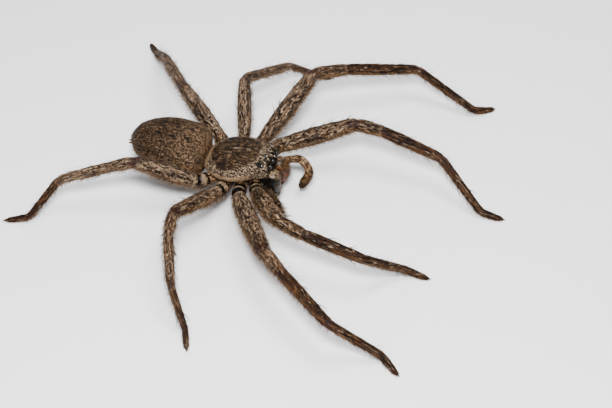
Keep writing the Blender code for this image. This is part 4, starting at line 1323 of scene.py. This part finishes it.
@dataclass
class Carapace:
    """The shell plate over the front of the body, with its grooves, rim and hair."""

    body: BodyFrame
    half_width: Stations = (
        (-7.0, 3.2), (-6.0, 4.4), (-4.0, 5.9), (-1.0, 6.6), (1.5, 6.2), (3.5, 5.2), (5.2, 4.5), (7.0, 3.9),
    )
    top: Stations = (
        (-7.0, 5.2), (-5.5, 6.3), (-2.5, 7.2), (0.5, 7.6), (3.0, 7.8), (5.3, 7.7), (6.5, 7.1), (7.0, 6.5),
    )
    roundness: Stations = ((-7.0, 2.0), (0.0, 2.0), (4.0, 2.5), (7.0, 2.8))
    dome: Stations = (
        (-7.0, 0.0), (-5.6, 2.2), (-4.0, 4.2), (-1.7, 5.3), (0.3, 4.9), (2.0, 3.9), (3.8, 2.6), (5.0, 0.8),
        (7, 0),
    )
    margin: float = 4.6
    lip: float = 0.28
    face_bow: float = 0.6
    nap: Tuft = Tuft(0.4, 0.045, 13, sway=14, density=34)
    pale: Tuft = Tuft(0.6, 0.05, 22, sway=18, kind=0.1, density=22)
    rim: Tuft = Tuft(0.45, 0.045, 28, sway=20, kind=0.2, density=20)
    stray: Tuft = Tuft(1.1, 0.026, 60, curl=0.2, sway=40, levels=3, kind=0.2, density=0.8)
    marking: CarapaceMarking = CarapaceMarking()

    def grooves(self, x: np.ndarray, y: np.ndarray) -> np.ndarray:
        """Depth of the fovea, the cervical grooves and the fainter ones behind them."""
        wide = np.abs(x)
        fovea = 0.5 * np.exp(-((x / 0.3) ** 2) - ((y + 2.3) / 0.9) ** 2)
        cervical = 0.28 * hump(y + 1.6 - 0.95 * wide, 0, 0.5) * np.minimum(wide / 1.4, 1)
        radial = sum(
            0.12 * hump(y - middle - slope * wide, 0, 0.4)
            for middle, slope in ((-2.2, 0.2), (-3.1, -0.55), (-1.2, 0.62))
        )
        return fovea + cervical + radial * np.minimum(wide / 1.5, 1)

    def surface(self) -> Surface:
        """The plate's surface, from its rear rim forward to the face."""
        spans = (np.linspace(-7.0, -6.0, 8)[:-1], np.linspace(-6.0, 6.2, 56)[:-1], np.linspace(6.2, 7.0, 9))
        y = np.concatenate(spans)[:, None]
        half, crown, power = (smooth_curve(row, y) for row in (self.half_width, self.top, self.roundness))
        turns = np.pi * np.arange(64) / 63
        cos, sin = np.cos(turns)[None], np.sin(turns)[None]
        x = half * np.sign(cos) * np.abs(cos) ** (2 / power)
        z = self.margin + (crown - self.margin) * sin ** (2 / power) - self.grooves(x, y) * sin
        under = self.margin - self.lip
        inner = np.linspace(-1, 1, 16)[None]
        x = np.concatenate([x, (half - 0.15) * inner], axis=1)
        z = np.concatenate([z, under + 0.6 * (1 - inner**2) + 0 * half], axis=1)
        bow = self.face_bow * np.clip((y - 3) / 4, 0, None) ** 2
        rings = np.stack([x, y - bow * (x / half) ** 2, z], axis=-1)
        steps = 6
        rings = closed(rings, 0.15, 0.16, steps)
        place = rings.copy()
        wide, along = np.abs(rings[..., 0]), rings[..., 1]
        reach = smooth_curve(self.half_width, np.clip(along, -7, 7))
        limit = smooth_curve(self.dome, np.clip(along, -7, 7))
        margin = 1 - smooth_step(0.4, 1.1, np.minimum((reach - wide) * 3.5, along + 7.0))
        face = smooth_step(3.4, 5.0, along) * smooth_step(5.6, 4.2, wide)
        zone = np.stack([smooth_step(-0.9, 0.9, limit - wide), margin, face], axis=-1)
        return Surface(self.body.to_model(rings), place, zone)

    def build(self) -> None:
        """Makes the plate and its hair."""
        surface = self.surface()
        shell = surface.skin("carapace_shell")
        shell.data.materials.append(self.marking.skin())
        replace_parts(shell, "carapace")
        coat = Coat("carapace_coat", 500)
        draw = coat.draw
        along, up = surface.place[..., 1], surface.place[..., 2]
        top = smooth_step(self.margin - 0.1, self.margin + 0.15, up)
        bare = smooth_step(7.0, 6.8, along)
        back = -self.body.turn(FORWARD)
        for _, place, radius in EYES:
            off = np.abs(surface.place * (1, 0, 0)) + surface.place * (0, 1, 1) - np.array(place)
            bare = bare * smooth_step(radius * 1.0, radius * 1.35, np.linalg.norm(off, axis=-1))
        nap = surface.scatter(self.nap.density * top * bare * (1 - 0.6 * surface.zone[..., 2]), draw)
        coat.grow(nap, self.nap, np.broadcast_to(back, nap.spots.shape))
        pale = surface.scatter(self.pale.density * top * surface.zone[..., 2] * bare, draw)
        coat.grow(pale, self.pale, np.broadcast_to(-back, pale.spots.shape))
        rim = surface.scatter(self.rim.density * smooth_step(0.9, 1, surface.zone[..., 1]) * top, draw)
        outward = rim.spots - surface.rings.mean(axis=(0, 1))
        coat.grow(rim, self.rim, outward)
        coat.grow(surface.scatter(self.stray.density * top, draw), self.stray)
        for piece in (shell, coat.finish(self.marking.coat())):
            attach(piece, BODY)
        log.info("carapace is made")


@dataclass
class Trunk:
    """One skin over the front body's core, the pedicel and the abdomen, with the spinnerets and sternum."""

    body: BodyFrame
    core: tuple = (
        (6.95, 3.1, 3.2, 1.9), (5.8, 3.5, 3.2, 1.95), (4.6, 3.6, 3.1, 2.0), (3.4, 3.8, 3.05, 2.0),
        (2.4, 4.1, 3.05, 2.0), (1.1, 4.3, 3.05, 2.0), (-1.3, 4.4, 3.05, 2.0), (-2.5, 4.2, 3.05, 2.0),
        (-3.7, 3.7, 3.05, 1.95), (-4.7, 2.8, 3.05, 1.75), (-5.5, 1.6, 3.0, 1.2), (-6.0, 0.85, 2.97, 0.78),
        (-6.9, 0.75, 3.1, 0.72),
    )
    abdomen: tuple = (
        (-7.4, 3.2, 4.1, 2.0), (-7.9, 5.0, 4.4, 3.0), (-8.9, 6.05, 4.7, 3.7), (-10.6, 6.7, 4.9, 4.15),
        (-13.0, 6.8, 5.0, 4.35), (-16.0, 6.65, 5.1, 4.3), (-19.0, 6.05, 5.1, 4.0), (-21.4, 4.95, 5.0, 3.35),
        (-23.1, 3.4, 4.9, 2.5), (-24.0, 1.8, 4.8, 1.5),
    )
    swing: float = 0.11
    inset: float = 0.18
    sides: int = 48
    spinneret_roots: tuple = ((0.42, 0.38, 1.0, 0.36), (0.5, -0.25, 0.85, 0.32), (0.16, 0.05, 0.65, 0.22))
    spinneret_drop: float = 0.8
    sternum_width: Stations = (
        (-4.9, 0.5), (-3.7, 1.7), (-1.5, 2.6), (1.0, 2.8), (3.0, 2.5), (4.2, 1.7), (4.6, 1.15), (5.5, 1.0),
        (6.1, 0.6),
    )
    sternum_depth: float = 1.2
    nap: Tuft = Tuft(0.45, 0.05, 15, sway=20, density=27)
    down: Tuft = Tuft(0.5, 0.03, 52, sway=26, kind=0.9, density=4)
    stray: Tuft = Tuft(1.2, 0.026, 48, curl=0.2, sway=30, levels=3, kind=0.4, density=0.9)
    nap_below: float = 6.0
    nap_on_sternum: float = 16.0
    marking: TrunkMarking = TrunkMarking()

    def surface(self) -> Surface:
        """The trunk's surface, from behind the face back to the spinnerets."""
        front = np.array(self.core)
        rear = np.array(self.abdomen)
        rear = rear - np.array([0, 1, 0, 1]) * self.inset
        y_front = np.linspace(6.95, -6.9, 44)
        rows = [tuple(zip(front[::-1, 0], front[::-1, k])) for k in (1, 2, 3)]
        first = np.stack([y_front, *(smooth_curve(row, y_front) for row in rows)], axis=1)
        t = np.linspace(0, 1, 46)
        begin, end = self.abdomen[0][0], self.abdomen[-1][0]
        y_rear = begin + (end - begin) * ((0.5 - 0.5 * np.cos(np.pi * t)) * 0.7 + t * 0.3)
        rows = [tuple(zip(rear[::-1, 0], rear[::-1, k])) for k in (1, 2, 3)]
        second = np.stack([y_rear, *(smooth_curve(row, y_rear) for row in rows)], axis=1)
        y, half, middle, height = (column[:, None] for column in np.concatenate([first, second]).T)
        back = smooth_step(-6.9, -7.35, y)
        power = 1 - 0.22 * (1 - smooth_step(-4.5, -6.0, y))
        turns = 2 * np.pi * np.arange(self.sides)[None] / self.sides - np.pi / 2
        cos, sin = np.cos(turns), np.sin(turns)
        aside = 0.5 * smooth_step(-7.6, -10, y) * smooth_step(-21, -14, y)
        swing = np.clip(begin - y, 0, None) * self.swing + aside
        x = half * np.sign(cos) * np.abs(cos) ** power
        z = middle + height * np.sign(sin) * np.abs(sin) ** power
        dimples = sum(
            0.3 * np.exp(-(((np.abs(x) - side) / 0.35) ** 2) - ((y - at) / 0.45) ** 2) * (sin > 0)
            for side, at in self.marking.dimples
        )
        folds = 0.05 * np.sin(y * 5.5 + 1.2 * np.cos(turns * 2)) * smooth_step(-15, -21, y) * back
        rings = np.stack([x - swing, y + 0 * x, z - dimples + folds * sin], axis=-1)
        steps = 5
        rings = closed(rings, 0.2, 0.35, steps)
        back = np.pad(back[:, 0], steps, mode="edge")
        shape = rings.shape[:2]
        sine = np.broadcast_to(sin / 2 + 0.5, shape)
        rearward = smooth_step(-9, -16, rings[..., 1])
        zone = np.stack([np.broadcast_to(back[:, None], shape), sine, rearward], axis=-1)
        return Surface(self.body.to_model(rings), rings.copy(), zone)

    def build(self) -> None:
        """Makes the trunk with all that it carries."""
        surface = self.surface()
        skin, cuticle = surface.skin("trunk_skin"), self.marking.skin()
        skin.data.materials.append(cuticle)
        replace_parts(skin, "abdomen", "pedicel")
        coat = Coat("trunk_coat", 600)
        draw = coat.draw
        abdomen = surface.zone[..., 0]
        for tuft in (self.nap, self.down, self.stray):
            coat.grow(surface.scatter(tuft.density * abdomen, draw), tuft)
        under = surface.zone[..., 1] < 0.35
        coat.grow(surface.scatter(self.nap_below * (1 - abdomen) * under, draw), self.nap)
        pieces = [skin, self.spinnerets(cuticle), coat.finish(self.marking.coat())]
        pieces += self.sternum(cuticle)
        for piece in pieces:
            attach(piece, BODY)
        log.info("trunk is made")

    def spinnerets(self, cuticle: bpy.types.Material) -> bpy.types.Object:
        """The six spinnerets at the rear, joined."""
        rear, _, middle, _ = self.abdomen[-1]
        front = np.array([(rear - self.abdomen[0][0]) * self.swing, rear, middle - self.spinneret_drop])
        made = []
        for side in Side:
            for across, down, length, radius in self.spinneret_roots:
                root = front + (across * side.value, 0.25, -down)
                end = root + (across * side.value * 0.35, -length - 0.4, -down * 0.4 - 0.1)
                path = np.array([root, root * 0.45 + end * 0.55, root * 0.35 + end * 0.65, end])
                surface = tube(self.body, path, (radius, radius * 0.92, radius * 0.7, radius * 0.42), 12, 14)
                surface.zone[..., 0] = 1
                made.append(surface.skin("spinneret"))
        joined = join(made, "spinnerets_skin")
        joined.data.materials.append(cuticle)
        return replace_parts(joined, "spinnerets")

    def sternum(self, cuticle: bpy.types.Material) -> list[bpy.types.Object]:
        """The plate under the front body, and the hair on it."""
        y = np.linspace(self.sternum_width[0][0], self.sternum_width[-1][0], 40)[:, None]
        half = smooth_curve(self.sternum_width, y)
        turns = 2 * np.pi * np.arange(36)[None] / 36
        cos, sin = np.cos(turns), np.sin(turns)
        x = half * np.sign(cos) * np.abs(cos) ** 0.6
        z = self.sternum_depth * (0.5 + 0.5 * np.sign(sin) * np.abs(sin) ** 0.6)
        bowl = 0.25 * (1 - z / self.sternum_depth) * (np.abs(x) / 2.8) ** 2
        groove = 0.18 * hump(y, 4.55, 0.12) * (sin < 0)
        z = z + bowl + groove
        rings = closed(np.stack([x, y + 0 * x, z], axis=-1), 0.15, 0.15, 4)
        zone = np.zeros(rings.shape)
        surface = Surface(self.body.to_model(rings), rings.copy(), zone)
        plate = surface.skin("sternum_plate")
        plate.data.materials.append(cuticle)
        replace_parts(plate, "sternum")
        coat = Coat("sternum_coat", 650)
        below = 1 - smooth_step(0.2, 0.6, rings[..., 2])
        coat.grow(surface.scatter(self.nap_on_sternum * below, coat.draw), self.nap)
        pieces = [plate, coat.finish(self.marking.coat())]
        return pieces


def join(pieces: list[bpy.types.Object], name: str) -> bpy.types.Object:
    """Joins objects in one."""
    deselect()
    for piece in pieces:
        piece.select_set(True)
    bpy.context.view_layer.objects.active = pieces[0]
    bpy.ops.object.join()
    joined = bpy.context.object
    joined.name = joined.data.name = name
    return joined


@dataclass
class Head:
    """The eyes with their rims, the chelicerae and the fangs."""

    body: BodyFrame
    path: tuple = (
        (2.03, 6.8, 3.3), (2.05, 7.25, 3.25), (2.07, 7.72, 2.7), (2.05, 8.0, 1.75), (2.0, 8.05, 0.8),
        (1.92, 8.0, -0.1),
    )
    radii: tuple = ((1.6, 1.5), (1.75, 1.62), (1.85, 1.62), (1.82, 1.5), (1.62, 1.3), (1.25, 1.0))
    trim: tuple[float, ...] = (0.0, 0.08, 0.25, 0.38, 0.36, 0.2)
    fang_path: tuple = (
        (2.45, 8.05, -0.75), (2.15, 7.95, -1.15), (1.6, 7.8, -1.4), (0.95, 7.65, -1.4), (0.4, 7.5, -1.2),
    )
    fang_radii: tuple[float, ...] = (0.5, 0.43, 0.33, 0.2, 0.06)
    bristle: Tuft = Tuft(0.9, 0.035, 38, curl=0.25, spread=0.4, sway=24, levels=3, kind=0.4)
    nap: Tuft = Tuft(0.36, 0.045, 20, sway=24)
    marking: JawMarking = JawMarking()

    def build(self) -> None:
        """Makes all of it."""
        self.make_eyes()
        skin, coat = self.marking.skin(), self.marking.coat()
        horn = Chitin("fang", shown(16, 10, 9), shown(70, 22, 14), 0.16).material()
        for side in Side:
            self.make_jaw(side, skin, coat, horn)
        log.info("head is made")

    def make_eyes(self) -> None:
        """Eight lenses, each in a low rim."""
        lens, rims = Lens().material(), []
        for name, place, radius in EYES:
            for side in Side:
                centre = self.body.to_model(np.array(place) * (side.value, 1, 1))
                deselect()
                bpy.ops.mesh.primitive_uv_sphere_add(
                    segments=32, ring_count=20, radius=radius * MM, location=centre * MM,
                )
                bpy.ops.object.shade_smooth()
                bpy.ops.object.transform_apply(location=True, rotation=True, scale=True)
                eye = bpy.context.object
                eye.name = eye.data.name = f"lens_{name}_{side.letter}"
                eye.data.materials.append(lens)
                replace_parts(eye, f"eye_{name}_{side.letter}")
                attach(eye, BODY)
                rims.append(self.rim(np.array(place) * (side.value, 1, 1), radius))
        rim = join(rims, "eye_rims")
        rim.data.materials.append(Chitin("eye_rim", shown(10, 7, 6), shown(16, 11, 9), 0.5).material())
        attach(rim, BODY)

    def rim(self, place: np.ndarray, radius: float) -> bpy.types.Object:
        """The raised ring of shell round one eye."""
        out = unit(place - np.array([0, 3.2, 4.6]))
        centre = self.body.to_model(place - out * radius * 0.25) * MM
        turn = Vector(self.body.turn(out)).to_track_quat("Z", "Y").to_euler()
        deselect()
        bpy.ops.mesh.primitive_torus_add(
            major_segments=28, minor_segments=10, major_radius=radius * MM, minor_radius=0.1 * MM,
            location=centre, rotation=turn,
        )
        bpy.ops.object.shade_smooth()
        bpy.ops.object.transform_apply(location=True, rotation=True, scale=True)
        return bpy.context.object

    def make_jaw(
        self, side: Side, skin: bpy.types.Material, coat: bpy.types.Material, horn: bpy.types.Material,
    ) -> None:
        """One chelicera with its bristles and fang.

        Args:
            side: which of the two.
            skin, coat, horn: the materials of the jaw, of its hair and of the fang.
        """
        mirror = np.array([side.value, 1, 1])
        knots = np.arange(len(self.path))
        stations = np.linspace(0, len(self.path) - 1, 36)
        path = np.array(self.path) * mirror
        slimmer = np.array(self.trim) if side is Side.RIGHT else np.zeros(len(self.trim))
        path[:, 1] -= slimmer
        radii = np.array(self.radii) - slimmer[:, None] * np.array([0.0, 1.0])
        middles = np.stack([smooth_curve(tuple(zip(knots, path[:, k])), stations) for k in range(3)], axis=1)
        wide, through = (smooth_curve(tuple(zip(knots, row)), stations) for row in radii.T)
        tangents = unit(np.gradient(middles, axis=0))
        tangents[0] = FORWARD
        tangents = unit(tangents)
        sideways = np.array([1.0, 0, 0])
        depth = unit(np.cross(tangents, sideways))
        turns = 2 * np.pi * np.arange(32) / 32
        cos, sin = np.cos(turns), np.sin(turns)
        ridge = 1 + 0.012 * np.cos(turns * 14)
        across = wide[:, None, None] * (sin * ridge)[None, :, None] * sideways
        ahead = depth[:, None] * (through[:, None, None] * (cos * ridge)[None, :, None])
        rings = middles[:, None] + across + ahead
        rings = closed(rings, 0.3, 0.45)
        shape = rings.shape[:2]
        normals = unit(rings - rings.mean(axis=1, keepdims=True))
        zone = np.stack([
            np.clip(normals[..., 1], 0, 1),
            np.clip(normals[..., 0] * side.value * 0.5 + 0.5, 0, 1),
            np.broadcast_to(np.linspace(0, 1, shape[0])[:, None], shape),
        ], axis=-1)
        surface = Surface(self.body.to_model(rings), rings.copy(), zone)
        jaw = surface.skin(f"chelicera_{side.letter}_skin")
        jaw.data.materials.append(skin)
        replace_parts(jaw, f"chelicera_{side.letter}")
        hair = Coat(f"chelicera_{side.letter}_coat", 700 + side.value)
        upper = smooth_step(1.0, 3.5, rings[..., 2])
        outside = smooth_step(1.6, 2.4, np.abs(rings[..., 0]) - (rings[..., 1] - 7.5) * 0.9)
        crown = np.maximum(outside, smooth_step(3.9, 4.4, rings[..., 2]))
        hair.grow(surface.scatter((12 + 16 * upper) * crown, hair.draw), self.nap)
        hair.grow(surface.scatter(5 * zone[..., 0] + 3 * upper + 2, hair.draw), self.bristle)
        fang = tube(self.body, np.array(self.fang_path) * mirror, self.fang_radii, 16, 30)
        fang_skin = fang.skin(f"fang_{side.letter}_horn")
        fang_skin.data.materials.append(horn)
        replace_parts(fang_skin, f"fang_{side.letter}")
        for piece, slot in ((jaw, "chelicerae"), (hair.finish(coat), "chelicerae"), (fang_skin, "fangs")):
            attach(piece, BODY)


# Studio


@dataclass(frozen=True)
class Studio:
    """Pale floor, soft light, and the camera at the photograph's viewing angle."""

    body: BodyFrame
    elevation: float = math.radians(43.92)
    azimuth: float = math.radians(-73.83)
    distance: float = 351.24
    across: float = 12.83
    above: float = -2.96
    lens: float = 100.0
    sensor: float = 36.0
    floor_size: float = 3.0

    def axes(self) -> tuple[np.ndarray, np.ndarray, np.ndarray]:
        """The camera's right, up and back directions."""
        cos, sin = math.cos(self.elevation), math.sin(self.elevation)
        back = np.array([math.sin(self.azimuth) * cos, -math.cos(self.azimuth) * cos, sin])
        right = np.array([math.cos(self.azimuth), math.sin(self.azimuth), 0.0])
        return right, np.cross(back, right), back

    def build(self) -> None:
        """Sets up the floor, the lights and the camera."""
        self.make_floor()
        right, up, back = self.axes()
        data = bpy.data.cameras.new("camera")
        data.lens, data.sensor_width = self.lens, self.sensor
        data.clip_start = 0.01
        camera = bpy.data.objects.new("camera", data)
        bpy.context.scene.collection.objects.link(camera)
        place = (back * self.distance + right * self.across + up * self.above + self.body.shift) * MM
        turn = Matrix((right, up, back)).transposed().to_4x4()
        camera.matrix_world = Matrix.Translation(place) @ turn
        bpy.context.scene.camera = camera
        self.add_light("key", tuple(back * 0.3 + up * 0.06), 0.05, 1.9, (1.0, 0.985, 0.96))
        self.add_light("top", (0.03, -0.1, 0.42), 0.2, 1.7, (1.0, 0.99, 0.98))
        self.add_light("rear", (0.4, 0.3, 0.4), 0.4, 1.2, (1.0, 1.0, 1.0))
        world = bpy.data.worlds.new("studio")
        world.use_nodes = True
        world.node_tree.nodes["Background"].inputs["Color"].default_value = (0.93, 0.95, 1.0, 1)
        world.node_tree.nodes["Background"].inputs["Strength"].default_value = 0.45
        bpy.context.scene.world = world

    def add_light(
        self, name: str, place: tuple[float, float, float], size: float, power: float, colour: Colour,
    ) -> None:
        """One square soft light that faces the spider.

        Args:
            name: its name.
            place: where it stands, in metres.
            size: the length of its side, in metres.
            power: its strength in watts.
            colour: its colour.
        """
        data = bpy.data.lights.new(name, "AREA")
        data.size, data.energy, data.color = size, power, colour
        lamp = bpy.data.objects.new(name, data)
        bpy.context.scene.collection.objects.link(lamp)
        lamp.location = place
        lamp.rotation_euler = Vector(place).to_track_quat("Z", "Y").to_euler()

    def make_floor(self) -> None:
        """The pale floor."""
        deselect()
        bpy.ops.mesh.primitive_plane_add(size=self.floor_size)
        floor = bpy.context.object
        floor.name = "floor"
        board = Board("floor")
        coordinates = board.node("ShaderNodeTexCoord", {}, {}).outputs["Object"]
        cloud = board.noise(Wire(board, coordinates), 18.0, 3.0)
        colour = board.mix(cloud, (0.86, 0.86, 0.87), (0.9, 0.9, 0.91))
        floor.data.materials.append(board.surface(Base_Color=colour, Roughness=0.55, Specular_IOR_Level=0.3))


def main() -> None:
    """Builds the spider part by part."""
    logging.basicConfig(level=logging.INFO, format="%(message)s", stream=sys.stdout)
    for obj in list(bpy.data.objects):
        bpy.data.objects.remove(obj, do_unlink=True)
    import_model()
    body = BodyFrame.over((0, *EYES[0][1][1:]), ("eye_front_middle_l", "eye_front_middle_r"))
    log.info("body frame shifted by %s mm", np.round(body.shift, 3))
    Studio(body).build()
    Carapace(body).build()
    Trunk(body).build()
    Head(body).build()
    Palps(body).build()
    Legs(body).build()


if __name__ == "__main__":
    main()
